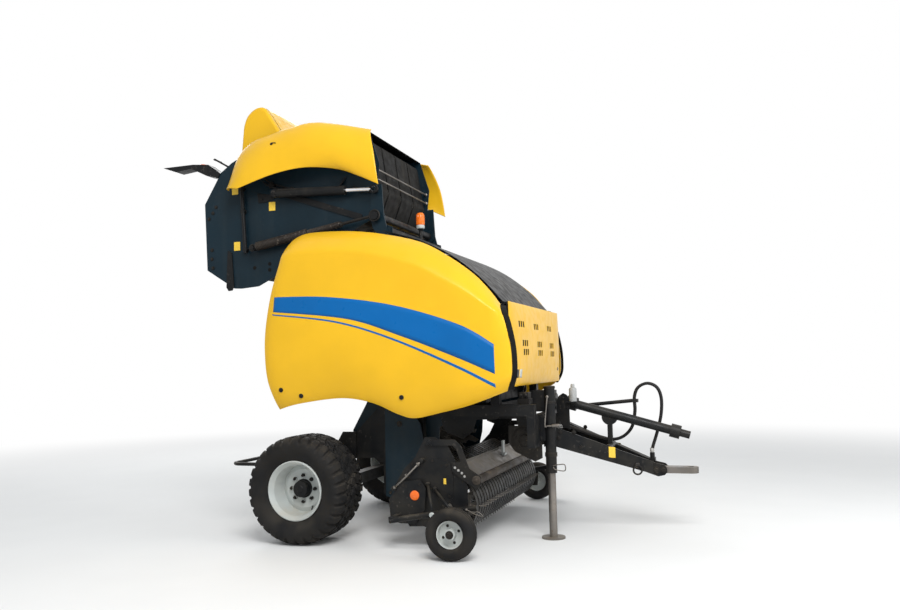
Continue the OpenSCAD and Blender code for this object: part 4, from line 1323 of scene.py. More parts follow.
@dataclass
class GateHood:
    """Hood at the back of the tailgate."""

    half: float = 0.5
    thickness: float = 0.006
    mid: Flat = (-0.6644, 1.905)
    steps: int = 72
    # Outline seen from the side on the closed tailgate, as machine x and z.
    line: Profile = (
        (-0.6644, 1.65), (-0.802, 1.728), (-0.907, 1.789), (-0.989, 1.84), (-1.052, 1.905), (-1.078, 1.98),
        (-1.074, 2.05), (-1.04, 2.098), (-0.98, 2.115), (-0.868, 2.13), (-0.769, 2.142), (-0.6644, 2.155))
    # From an end's middle to the ridge: distance from the centreline and share of the outline's size.
    end_rows: Profile = (
        (0.5, 0.06), (0.5, 0.5), (0.5, 0.9), (0.5, 0.93), (0.4985, 0.945), (0.491, 0.98),
        (0.482, 0.993), (0.47, 1.0), (0.44, 1.0))
    middle_rows: Profile = ((-0.2, 1.0), (0.2, 1.0))
    seam_y: float = 0.435
    seam_start: float = 0.3
    seam_steps: int = 60
    # Black strip on each side face at the hood's base, painted shade of the gap there: outline on the closed
    # tailgate, as machine x and z.
    gasket: Profile = ((-0.6644, 1.655), (-0.6644, 2.15), (-0.7, 2.14), (-0.722, 1.905), (-0.7, 1.68))

    def build(self) -> None:
        """Builds the shell, its seams, and a black strip on each side as painted shade of the gap at its
        base.
        """
        rows = [*((-y, k) for y, k in self.end_rows), *self.middle_rows, *reversed(self.end_rows)]
        mid_x, mid_z = self.mid
        grid = []
        for i in range(self.steps + 1):
            x, z = smooth_curve(self.line, i / self.steps)
            grid.append([on_gate(mid_x + k * (x - mid_x), y, mid_z + k * (z - mid_z)) for y, k in rows])
        grid.reverse()
        add_piece(sheet_object("hood_shell", grid, self.thickness, 0.001), "gate", YELLOW, ("gate_hood",))
        seams, base_gap_shades = [], []
        for side in Side:
            seams.append(tube("seam", self.seam(side.value * self.seam_y), 0.0022, 6))
            # Black strip just off each side face: painted shade of the gap at the hood's base.
            y = side.value * (self.half + 0.0004)
            outline = [on_gate(x, y, z) for x, z in self.gasket]
            base_gap_shades.append(plate_object("gasket", outline, Vector((0, side.value * 0.0025, 0)), 0.0008))
        fit("hood_seams", seams, "gate", SEAL)
        fit("hood_gaskets", base_gap_shades, "gate", SEAL)

    def seam(self, y: float) -> list[Vector]:
        """Points of a seam over the shell.

        Args:
            y: its distance to the left of the centreline.

        Returns:
            The points from the low end up.
        """
        run = 1 - self.seam_start
        flat = [smooth_curve(self.line, self.seam_start + run * i / self.seam_steps)
                for i in range(self.seam_steps + 1)]
        return [on_gate(x, y, z) for x, z in flat]


@dataclass
class GateSpring(Sided):
    """Closing spring beside the tailgate: two coils, their core and eyes."""

    low: Flat = (0.184, 1.528)
    body: float = 0.56
    bar: float = 0.32

    def build(self) -> None:
        """Builds the coils and the core of one spring."""
        y = self.side.value * SPRING_Y
        start, end = on_gate(self.low[0], y, self.low[1]), on_gate(GATE_PIVOT[0], y, GATE_PIVOT[1])
        along = (end - start).normalized()
        length = (end - start).length
        body, waist = self.body, length - self.bar
        thick = coil_path(start + along * 0.05, start + along * body, 0.0355, 0.0136, 18)
        thin = coil_path(start + along * (body + 0.012), start + along * (waist - 0.008), 0.0246, 0.0122, 16)
        coils = joined(f"spring_coils_{self.word}", [
            tube("coil_a", thick, 0.006, 6), tube("coil_b", thin, 0.005, 6)])
        add_piece(coils, "gate", BROWN, ("gate_springs",))
        profile = ((0.012, 0.03), (0.024, 0.034), (0.034, 0.044), (0.038, 0.052), (0.026, 0.056),
                   (0.026, body - 0.02), (0.037, body - 0.016), (0.037, body + 0.002), (0.0185, body + 0.01),
                   (0.0185, waist - 0.016), (0.0275, waist - 0.012), (0.0275, waist + 0.004),
                   (0.0135, waist + 0.014), (0.0135, length - 0.046))
        core = joined(f"spring_core_{self.word}", [
            lathed("core", profile, start, along, 28),
            tube("eye_low", loop_path(start, ACROSS, 0.0275, 24), 0.007, 8, True),
            tube("eye_high", loop_path(end, ACROSS, 0.0455, 30), 0.0085, 8, True)])
        add_piece(core, "gate", DARK_IRON, ("gate_springs",))


@dataclass
class Tyre(Sided):
    """Main tyre with zigzag grooves across its tread, its hub cap, nuts and valve."""

    centre: Point = (0.0, 1.01, 0.432)
    # Half of the tyre's section, from the bead to the shoulder, as radius and way along the axle.
    outline: Profile = (
        (0.216, -0.17), (0.244, -0.194), (0.298, -0.2275), (0.342, -0.24), (0.392, -0.23),
        (0.418, -0.196), (0.4305, -0.15))
    side_steps: int = 22
    crown: float = 0.0015
    lugs: int = 30
    steps_per_lug: int = 14
    across: int = 64
    groove: float = 0.017
    groove_start: float = 0.35
    groove_run: float = 0.05
    tread_half: float = 0.205
    shoulder: float = 0.52
    sharp: float = 42
    cap: Profile = (
        (0.076, 0.0405), (0.076, 0.05), (0.072, 0.054), (0.066, 0.056), (0.066, 0.098), (0.062, 0.106),
        (0.03, 0.1085), (0.026, 0.112), (0.004, 0.1125))
    nut: Profile = (
        (0.0158, 0.0412), (0.0158, 0.06), (0.0135, 0.0625), (0.009, 0.0628), (0.009, 0.074),
        (0.007, 0.0765))
    nuts: int = 8
    nut_circle: float = 0.105
    valve: Profile = (
        (0.007, 0), (0.0055, 0.006), (0.0045, 0.03), (0.0058, 0.032), (0.0058, 0.042), (0.004, 0.044))

    def tread(self, turn: float, across: float) -> float:
        """Depth of the tread pattern: four zigzag grooves, and cuts across the shoulders and the middle.

        Args:
            turn: place round the tyre, counted in lugs.
            across: place across the tread, from -1 to 1.

        Returns:
            Share of the groove's depth, from 0 to 1.
        """
        swing = abs((turn % 1.0) - 0.5) * 2
        deep = 0.0
        for n, mid in enumerate((-0.6, -0.2, 0.2, 0.6)):
            wave = swing if n % 2 else 1 - swing
            deep = max(deep, 1 - abs(across - mid - 0.2 * (wave - 0.5)) / 0.062)
        if abs(across) > self.shoulder:
            lean = turn + 0.45 * (abs(across) - 0.5) + (0.0 if across > 0 else 0.5)
            deep = max(deep, 1 - abs((lean % 1.0) - 0.5) / 0.19)
        else:
            lean = turn + 1.1 * abs(across - 0.2)
            deep = max(deep, (1 - abs((lean % 1.0) - 0.5) / 0.11) * 0.8)
        return min(1.0, max(0.0, deep * 2.4))

    def cut(self, step: int, r: float, w: float) -> float:
        """Depth cut into the smooth tyre.

        Args:
            step: number of the step round the tyre.
            r: radius of the point.
            w: way of the point along the axle.

        Returns:
            The depth in metres.
        """
        share = min(1.0, max(0.0, (r - self.groove_start) / self.groove_run))
        turn = step * self.lugs / (self.lugs * self.steps_per_lug)
        return self.groove * self.tread(turn, w / self.tread_half) * share if share else 0.0

    def build(self) -> None:
        """Builds the tyre and what shows on its wheel."""
        across, (edge_r, edge_w) = self.across, self.outline[-1]
        side_rows = [tuple(p) for p in rounded_path(self.outline, self.side_steps)]
        tread_rows = [(edge_r + self.crown * (1 - (2 * j / across - 1) ** 2),
                       edge_w - 2 * edge_w * j / across) for j in range(1, across)]
        rows = side_rows + tread_rows + [(r, -w) for r, w in reversed(side_rows)]
        middle = self.spot(*self.centre)
        around = self.lugs * self.steps_per_lug
        tyre = wheel_body(f"tread_tyre_{self.word}", middle, rows, around, self.sharp, self.cut)
        body = f"wheel_{self.word}"
        add_piece(tyre, body, TYRE, (f"tyre_{self.word}",))
        self.hub(middle, body)

    def hub(self, middle: Vector, body: str) -> None:
        """Adds the hub cap, the nuts and the valve.

        Args:
            middle: centre of the wheel.
            body: body of the wheel.
        """
        add_piece(self.turned(f"hub_cap_{self.word}", self.cap, middle, 48), body, BLACK)
        seats = ring_places(middle, self.nut_circle, self.nuts)
        nuts = [self.turned("nut", self.nut, seat, 6) for seat in seats]
        fit(f"wheel_nuts_{self.word}", nuts, body, DARK_IRON)
        root = middle + Vector((0.085, 0, -0.142)) + self.out * 0.052
        lean = Vector((0.25, self.side.value * 0.85, -0.4))
        add_piece(lathed(f"valve_{self.word}", self.valve, root, lean, 14), body, SEAL)


@dataclass
class GaugeWheel(Sided):
    """Small wheel beside the pickup."""

    centre: Point = (1.38, 1.4, 0.19)
    # Half of the tyre's section, from the rim to the middle rib, as radius and way along the axle.
    outline: Profile = (
        (0.101, -0.04), (0.11, -0.062), (0.124, -0.072), (0.14, -0.0748), (0.156, -0.071),
        (0.168, -0.061), (0.18, -0.045), (0.1855, -0.036), (0.1862, -0.027), (0.1805, -0.0255),
        (0.1805, -0.0215), (0.1872, -0.02), (0.1885, -0.0065), (0.1825, -0.005))
    around: int = 96
    sharp: float = 50
    bolts: int = 4
    bolt_circle: float = 0.064
    cap: Profile = (
        (0.0155, 0.04), (0.03, 0.0402), (0.03, 0.044), (0.0185, 0.047), (0.0175, 0.07),
        (0.013, 0.0725))

    def build(self) -> None:
        """Builds the ribbed tyre, the bolts of the rim and the cap of the axle."""
        middle = self.spot(*self.centre)
        body = f"gauge_{self.word}"
        rows = [*self.outline, *((r, -w) for r, w in reversed(self.outline))]
        tyre = wheel_body(f"ribbed_tyre_{self.word}", middle, rows, self.around, self.sharp)
        add_piece(tyre, body, TYRE, (f"gauge_tyre_{self.word}",))
        seats = ring_places(middle + self.out * 0.001, self.bolt_circle, self.bolts, 0.4)
        add_piece(bolt_heads(f"gauge_bolts_{self.word}", seats, self.out, 0.0075), body, DARK_IRON)
        add_piece(self.turned(f"gauge_cap_{self.word}", self.cap, middle), body, DARK_IRON)


@dataclass
class Beacon:
    """Orange beacon on its post."""

    foot: Point = (0.612, 0.15, 2.5903)
    # Profiles as radius and height over the foot.
    post: Profile = (
        (0.028, 0), (0.028, 0.008), (0.017, 0.012), (0.015, 0.02), (0.015, 0.092), (0.024, 0.1),
        (0.028, 0.104), (0.028, 0.112))
    collar: Profile = ((0.03, 0.1122), (0.037, 0.114), (0.039, 0.12), (0.039, 0.14), (0.036, 0.146))
    lens: Profile = (
        (0.0365, 0.1462), (0.0375, 0.15), (0.0375, 0.222), (0.0365, 0.238), (0.033, 0.253),
        (0.026, 0.262), (0.014, 0.2655), (0.003, 0.266))
    rib: Profile = ((0.0372, 0.15), (0.0378, 0.16), (0.0378, 0.218), (0.0368, 0.235), (0.033, 0.25))
    rib_radius: float = 0.0021
    ribs: int = 20

    def build(self) -> None:
        """Builds the post, the collar and the ribbed lens."""
        foot = at(*self.foot)
        add_piece(lathed("beacon_post", self.post, foot, UP, 32), "frame", BLACK, ("beacon",))
        add_piece(lathed("beacon_collar", self.collar, foot, UP, 40), "frame", PALE)
        parts = [lathed("lens", self.lens, foot, UP, 48)]
        for i in range(self.ribs):
            angle = 2 * math.pi * i / self.ribs
            way = Vector((math.cos(angle), math.sin(angle), 0))
            path = [foot + way * r + UP * d for r, d in self.rib]
            parts.append(tube("rib", path, self.rib_radius, 6))
        fit("beacon_lens", parts, "frame", LENS, ("beacon",))


@dataclass
class GateFittings(Sided):
    """What sits on one side sheet of the tailgate: plates, bolts, bracket, pipes, reflector and T bar."""

    # Places on the closed tailgate, as machine x and z.
    plates: Profile = ((-0.087, 1.837), (0.066, 1.36), (-0.414, 1.563))
    plate_half: Flat = (0.0325, 0.04)
    bolts: Profile = (
        (-0.308, 1.204), (-0.338, 1.266), (-0.372, 1.318), (-0.03, 1.11), (0.046, 1.074), (0.127, 1.048))
    plugs: Profile = ((0.374, 1.591), (0.423, 1.567), (0.333, 1.438))
    plug: Profile = ((0.017, 0), (0.017, 0.002), (0.012, 0.004), (0.004, 0.0042))
    bracket: Profile = ((-0.268, 1.757), (-0.163, 1.907), (-0.138, 1.895), (-0.15, 1.8), (-0.179, 1.731))
    bracket_bolts: Profile = ((-0.165, 1.872), (-0.19, 1.775))
    bracket_depth: float = 0.01
    pipe: Profile = (
        (-0.346, 1.884), (-0.263, 1.935), (-0.12, 2.092), (0.015, 2.271), (0.105, 2.445), (0.048, 2.591))
    pipe_high: Profile = ((0.16, 2.62), (0.24, 2.678), (0.313, 2.768), (0.366, 2.774))
    pipe_radius: float = 0.0075
    pipe_depths: Flat = (0.0078, 0.0258)
    pipe_shift: float = 0.02
    # Clips: those on the two low pipes are wider and deeper.
    wide_clips: Profile = ((-0.263, 1.935), (-0.12, 2.092), (0.015, 2.271), (0.105, 2.445))
    clips: Profile = ((0.24, 2.678), (0.313, 2.768))
    # T bar: root, tip and cross bar, and the reflector's seat.
    bar_y: float = 0.58
    bar: Profile = ((-0.654, 1.585), (-0.82, 1.471), (-0.786, 1.4945))
    cross_half: float = 0.06
    foot: Profile = ((0.02, -0.004), (0.02, 0.006), (0.012, 0.01))
    reflector_seat: Flat = (-0.819, 1.345)
    reflector_way: Flat = (-0.86, 0.51)
    reflector: Profile = ((0.04, -0.006), (0.04, 0.006), (0.036, 0.01), (0.01, 0.0115))

    def on_sheet(self, x: float, z: float, depth: float = 0.0) -> Vector:
        """Point of the frame at a depth off this side's sheet of the closed tailgate."""
        return on_gate(x, self.side.value * (GATE_FACE + depth), z)

    def build(self) -> None:
        """Builds every fitting of this side."""
        corners = [Vector((dx, 0, dz)) for dx, dz in rectangle(*self.plate_half)]
        outlines = [[self.on_sheet(*place) + corner for corner in corners] for place in self.plates]
        blanks = [plate_object("blank", outline, self.out * 0.0012, 0.0004) for outline in outlines]
        fit(f"gate_plates_{self.word}", blanks, "gate", LABEL)
        seats = [self.on_sheet(*place) for place in self.bolts]
        add_piece(bolt_heads(f"gate_bolts_{self.word}", seats, self.out, 0.012), "gate", DARK_IRON)
        plugs = [self.turned("plug", self.plug, self.on_sheet(*place)) for place in self.plugs]
        fit(f"gate_plugs_{self.word}", plugs, "gate", SEAL)
        outline = [self.on_sheet(*place) for place in self.bracket]
        leaf = plate_object("bracket_leaf", outline, self.out * self.bracket_depth, 0.002)
        seats = [self.on_sheet(*place, self.bracket_depth) for place in self.bracket_bolts]
        heads = bolt_heads("bracket_bolts", seats, self.out, 0.01)
        fit(f"gate_bracket_{self.word}", [leaf, heads], "gate", BLACK)
        self.pipes()
        self.rear_end()

    def pipes(self) -> None:
        """Rigid pipes along the sheet, held by clips."""
        near, far = self.pipe_depths
        parts = []
        for line, depth, shift in ((self.pipe, near, 0.0), (self.pipe, far, self.pipe_shift),
                                   (self.pipe_high, near, 0.0)):
            path = rounded_path([self.on_sheet(x + shift, z - shift, depth) for x, z in line], 40)
            parts.append(tube("pipe", path, self.pipe_radius, 10))
        fit(f"gate_pipes_{self.word}", parts, "gate", HOSE)
        clips = []
        for places, wide, depth in ((self.wide_clips, 0.018, 0.037), (self.clips, 0.0, 0.018)):
            corners = ((-0.014, -0.016 - wide), (0.014 + wide, -0.016 - wide), (0.014 + wide, 0.012),
                       (-0.014, 0.012))
            for x, z in places:
                outline = [self.on_sheet(x + dx, z + dz) for dx, dz in corners]
                clips.append(plate_object("clip", outline, self.out * depth, 0.002))
                clips.append(bolt_heads("clip_bolt", [self.on_sheet(x, z, depth - 0.001)], self.out, 0.006))
        fit(f"gate_clips_{self.word}", clips, "gate", DARK_IRON)

    def rear_end(self) -> None:
        """T bar and reflector at the low rear end."""
        y = self.side.value * self.bar_y
        root, tip, cross = (on_gate(x, y, z) for x, z in self.bar)
        sway = ACROSS * self.cross_half
        bar = [lathed("foot", self.foot, root, tip - root, 20),
               tube("stem", [root, tip], 0.0085, 12),
               tube("cross", [cross - sway, cross + sway], 0.0075, 12)]
        fit(f"gate_t_bar_{self.word}", bar, "gate", BLACK)
        seat = on_gate(self.reflector_seat[0], y, self.reflector_seat[1])
        way = gate_way(*self.reflector_way)
        reflector = lathed(f"gate_reflector_{self.word}", self.reflector, seat, way, 40)
        add_piece(reflector, "gate", REFLECTOR)


@dataclass
class GateTubes:
    """Thin tubes between the two side sheets of the tailgate."""

    half: float = 0.6252
    radius: float = 0.008
    collar: Profile = ((0.016, 0), (0.016, 0.01), (0.009, 0.014))
    places: Profile = ((0.12, 2.87), (0.2, 2.835))

    def build(self) -> None:
        """Builds the tubes with a collar at each end."""
        parts = []
        for x, z in self.places:
            a, b = on_gate(x, -self.half, z), on_gate(x, self.half, z)
            parts.append(tube("cross_tube", [a, b], self.radius, 12))
            parts += [lathed("collar", self.collar, end, way, 20)
                      for end, way in ((a, b - a), (b, a - b))]
        fit("gate_cross_tubes", parts, "gate", STEEL)


@dataclass
class PickupTrim(Sided):
    """Plates, rods and fixings beside the pickup, and the wind guard's bolts."""

    sheet_y: float = 1.0483
    fore_thickness: float = 0.004
    rear_y: Flat = (1.072, 1.077)
    # Outlines and places as machine x and z.
    rear: Profile = (
        (0.872, 0.509), (0.76, 0.367), (0.774, 0.206), (0.86, 0.186), (0.98, 0.19), (1.06, 0.3),
        (1.07, 0.46), (1.023, 0.527))
    fore: Profile = (
        (1.109, 0.705), (1.263, 0.661), (1.292, 0.534), (1.28, 0.383), (1.197, 0.29), (1.1, 0.33),
        (1.06, 0.52), (1.07, 0.66))
    label: Profile = ((1.21, 0.493), (1.231, 0.493), (1.231, 0.537), (1.21, 0.537))
    spacers: Profile = ((0.885, 0.48), (1.02, 0.49), (0.96, 0.225))
    spacer: Profile = ((0.012, 0), (0.012, 0.0238))
    fore_bolts: Profile = ((1.12, 0.67), (1.235, 0.635), (1.255, 0.4), (1.2, 0.325), (1.095, 0.42))
    sheet_bolts: Profile = ((0.955, 0.64), (1.000, 0.22), (1.34, 0.25))
    reflector: Profile = ((0.037, 0), (0.037, 0.006), (0.034, 0.008), (0.01, 0.009))
    reflector_place: Point = (0.979, 1.0772, 0.405)
    arm_cap: Profile = ((0.019, 0), (0.019, 0.014), (0.015, 0.018))
    arm_cap_place: Point = (1.183, 1.2524, 0.294)
    guard_y: float = 1.068
    guard_bolts: Profile = ((1.31, 0.622), (1.337, 0.602), (1.364, 0.582), (1.386, 0.557))
    guard_cap: Profile = (
        (0.0345, 0.0002), (0.0345, 0.004), (0.026, 0.007), (0.012, 0.0075), (0.012, 0.016), (0.009, 0.018))
    # Adjusting rod: line from top to bottom and where along it the nuts sit.
    rod: tuple[Point, ...] = ((1.051, 1.088, 0.681), (0.915, 1.088, 0.548), (0.796, 1.088, 0.445))
    nut_shares: tuple[float, ...] = (0.12, 0.5, 0.9)
    nut: Profile = ((0.0145, 0), (0.0145, 0.014))
    pin: Profile = ((0.009, 0), (0.009, 0.02), (0.006, 0.022))
    pin_place: Point = (1.455, 1.25, 0.342)
    clip: tuple[Point, ...] = (
        (1.455, 1.262, 0.342), (1.508, 1.264, 0.325), (1.546, 1.266, 0.33), (1.584, 1.264, 0.299),
        (1.54, 1.262, 0.306), (1.478, 1.262, 0.328))
    # Root and tip of the brace and of the link.
    stays: tuple[tuple[Point, Point], ...] = (
        ((1.08, 1.056, 0.491), (1.174, 1.226, 0.312)), ((1.136, 1.056, 0.454), (1.319, 1.226, 0.33)))
    shoe: Profile = ((0.02, -0.006), (0.02, 0.01), (0.013, 0.016))
    lugs: Profile = ((1.04, 0.672), (0.806, 0.453))
    lug: Profile = ((0.019, 0), (0.019, 0.046), (0.013, 0.05))

    def build(self) -> None:
        """Builds the trim of this side."""
        y, fore_y = self.side.value, self.sheet_y + self.fore_thickness
        rear_in, rear_out = self.rear_y
        fore = side_plate("fore_plate", self.fore, y * self.sheet_y, y * fore_y, 0.001)
        rear = side_plate("rear_plate", self.rear, y * rear_in, y * rear_out, 0.0015)
        posts = [self.turned("post", self.spacer, self.spot(x, self.sheet_y, z), 20) for x, z in self.spacers]
        fit(f"pickup_plates_{self.word}", [fore, rear, *posts], "pickup", BLACK)
        heads = [self.spot(x, off, z) for places, off in
                 ((self.fore_bolts, fore_y), (self.sheet_bolts, self.sheet_y), (self.spacers, rear_out))
                 for x, z in places]
        add_piece(bolt_heads(f"pickup_bolts_{self.word}", heads, self.out, 0.0085), "pickup", DARK_IRON)
        seat = self.spot(*self.reflector_place)
        add_piece(self.turned(f"pickup_reflector_{self.word}", self.reflector, seat, 40), "pickup", REFLECTOR)
        add_piece(self.rods(), "pickup", STEEL)
        add_piece(self.struts(), "pickup", BLACK)
        cap = self.turned(f"gauge_arm_cap_{self.word}", self.arm_cap, self.spot(*self.arm_cap_place))
        add_piece(cap, "pickup", PALE)
        marks = [self.spot(x, self.guard_y, z) for x, z in self.guard_bolts]
        add_piece(bolt_heads(f"guard_bolts_{self.word}", marks, self.out, 0.0068), "guard", GALVANISED)
        roll_end = self.spot(WindGuard.roll[0], self.guard_y, WindGuard.roll[1])
        add_piece(self.turned(f"guard_cap_{self.word}", self.guard_cap, roll_end, 28), "guard", BROWN)
        outline = [self.spot(x, fore_y + 0.0003, z) for x, z in self.label]
        label = plate_object(f"pickup_label_{self.word}", outline, self.out * 0.0012, 0.0004)
        add_piece(label, "pickup", LABEL)

    def rods(self) -> Piece:
        """Adjusting rod with its nuts, and the pin with its clip on the gauge arm.

        Returns:
            The rods as one piece.
        """
        line = [self.spot(*place) for place in self.rod]
        way = line[-1] - line[0]
        parts = [tube("rod", line, 0.0075, 10)]
        parts += [lathed("nut", self.nut, line[0].lerp(line[-1], share), way, 6)
                  for share in self.nut_shares]
        parts.append(self.turned("pin", self.pin, self.spot(*self.pin_place), 16))
        clip = rounded_path([self.spot(*place) for place in self.clip], 24)
        parts.append(tube("clip", clip, 0.0028, 6))
        return joined(f"pickup_rods_{self.word}", parts)

    def struts(self) -> Piece:
        """Brace and link between the side sheet and the gauge arm, with the rod's two lugs.

        Returns:
            The struts as one piece.
        """
        parts = []
        for a, b in self.stays:
            root, tip = self.spot(*a), self.spot(*b)
            parts.append(tube("strut", [root, tip], 0.011, 12))
            parts.append(lathed("shoe", self.shoe, root, tip - root, 20))
        parts += [self.turned("lug", self.lug, self.spot(x, self.sheet_y, z), 20) for x, z in self.lugs]
        return joined(f"pickup_struts_{self.word}", parts)


@dataclass
class WindGuard:
    """Guard over the pickup: two bent arms, a steel channel, its roll and its lever."""

    half: float = 1.0555
    # Lines and outlines as machine x and z.
    arm: Profile = ((1.1, 0.81), (1.3, 0.812), (1.34, 0.775), (1.4, 0.61), (1.48, 0.53))
    arm_half: float = 0.0235
    arm_y: Flat = (1.0562, 1.0678)
    plate: Profile = (
        (1.283, 0.66), (1.345, 0.668), (1.518, 0.556), (1.518, 0.505), (1.478, 0.455), (1.283, 0.592))
    plate_y: Flat = (1.0565, 1.0675)
    boss: Profile = ((0.03, 0), (0.03, 0.004), (0.02, 0.006), (0.02, 0.014), (0.012, 0.017))
    channel: Profile = (
        (1.372, 0.672), (1.362, 0.65), (1.368, 0.642), (1.466, 0.561), (1.476, 0.562), (1.484, 0.572))
    channel_steps: int = 24
    rib: Profile = ((1.392, 0.624), (1.452, 0.573), (1.47, 0.552), (1.452, 0.54))
    ribs: tuple[float, ...] = (-0.7, -0.35, 0.0, 0.35, 0.7)
    rib_half: float = 0.004
    roll: Flat = (1.48, 0.53)
    roll_end: Profile = ((0.02, 0.0005), (0.034, 0.001), (0.035, 0.004))

    def build(self) -> None:
        """Builds the arms, the channel, the roll and the lever."""
        outline = strap_outline(self.arm, self.arm_half)
        for side in Side:
            y = side.value
            arm = side_plate("arm", outline, y * self.arm_y[0], y * self.arm_y[1], 0.0025)
            seat = at(self.arm[0][0], y * self.arm_y[1], self.arm[0][1])
            boss = lathed("boss", self.boss, seat, Vector((0, y, 0)), 28)
            plate = side_plate("arm_plate", self.plate, y * self.plate_y[0], y * self.plate_y[1], 0.0025)
            fit(f"guard_arm_{side.word}", [arm, plate, boss], "guard", BLACK, ("windguard",))
        grid = [[at(x, -self.half + 2 * self.half * i / self.channel_steps, z) for x, z in self.channel]
                for i in range(self.channel_steps + 1)]
        sheet = sheet_object("channel_sheet", grid, 0.004, 0.001)
        ribs = [side_plate("rib", self.rib, y - self.rib_half, y + self.rib_half, 0.001) for y in self.ribs]
        fit("guard_channel", [sheet, *ribs], "guard", STEEL, ("windguard",))
        profile = [*self.roll_end, *((r, 2 * self.half - d) for r, d in reversed(self.roll_end))]
        foot = at(self.roll[0], -self.half, self.roll[1])
        add_piece(lathed("guard_tube", profile, foot, ACROSS, 40), "guard", BROWN, ("windguard",))
        lever = [slab("leaf", (1.398, -0.035, 0.612), (1.414, 0.03, 0.735), 0.004),
                 slab("foot", (1.39, -0.045, 0.604), (1.43, 0.04, 0.624), 0.003)]
        fit("guard_lever", lever, "guard", PALE)


@dataclass
class DrawbarTrim(Sided):
    """Bolts, blank label and towing ring on one leg of the drawbar, and the nose bolts on that side."""

    yaw: float = math.radians(16.87)
    root: Flat = (1.87871, -0.345)
    # Places on a leg, as way along it and height over the ground.
    bolts: Profile = ((0.108, 0.834), (0.222, 0.829), (0.278, 0.708), (0.094, 0.785))
    label: Profile = ((0.503, 0.706), (0.557, 0.7), (0.557, 0.613), (0.503, 0.619))
    ring_place: Flat = (0.733, 0.512)
    ring_radius: float = 0.035
    lug_height: float = 0.548
    lug: Profile = ((0.022, -0.004), (0.022, 0.01), (0.012, 0.016))
    nose: Profile = ((2.725, 0.508), (2.785, 0.508))
    nose_y: float = 0.0762

    def on_leg(self, along: float, z: float, off: float = 0.0) -> Vector:
        """Point beside the leg's web.

        Args:
            along: way along the leg.
            z: height over the ground.
            off: distance off the web's outer face.

        Returns:
            The point in the frame.
        """
        x = self.root[0] + along * math.cos(self.yaw) + off * math.sin(self.yaw)
        y = self.root[1] + along * math.sin(self.yaw) - off * math.cos(self.yaw)
        return self.spot(x, -y, z)

    def build(self) -> None:
        """Builds the trim of this leg."""
        out = self.on_leg(0, 0, 1) - self.on_leg(0, 0)
        seats = [self.on_leg(*place, 0.0004) for place in self.bolts]
        add_piece(bolt_heads(f"drawbar_bolts_{self.word}", seats, out, 0.013), "frame", DARK_IRON)
        outline = [self.on_leg(*place, 0.0003) for place in self.label]
        label = plate_object(f"drawbar_label_{self.word}", outline, out * 0.0012, 0.0004)
        add_piece(label, "frame", LABEL)
        circle = loop_path(self.on_leg(*self.ring_place, 0.012), out, self.ring_radius, 28)
        seat = self.on_leg(self.ring_place[0], self.lug_height)
        ring = [tube("ring", circle, 0.0075, 10, True), lathed("lug", self.lug, seat, out, 20)]
        fit(f"drawbar_ring_{self.word}", ring, "frame", DARK_IRON)
        heads = [self.spot(x, self.nose_y, z) for x, z in self.nose]
        add_piece(bolt_heads(f"nose_bolts_{self.word}", heads, self.out, 0.02), "frame", DARK_IRON)


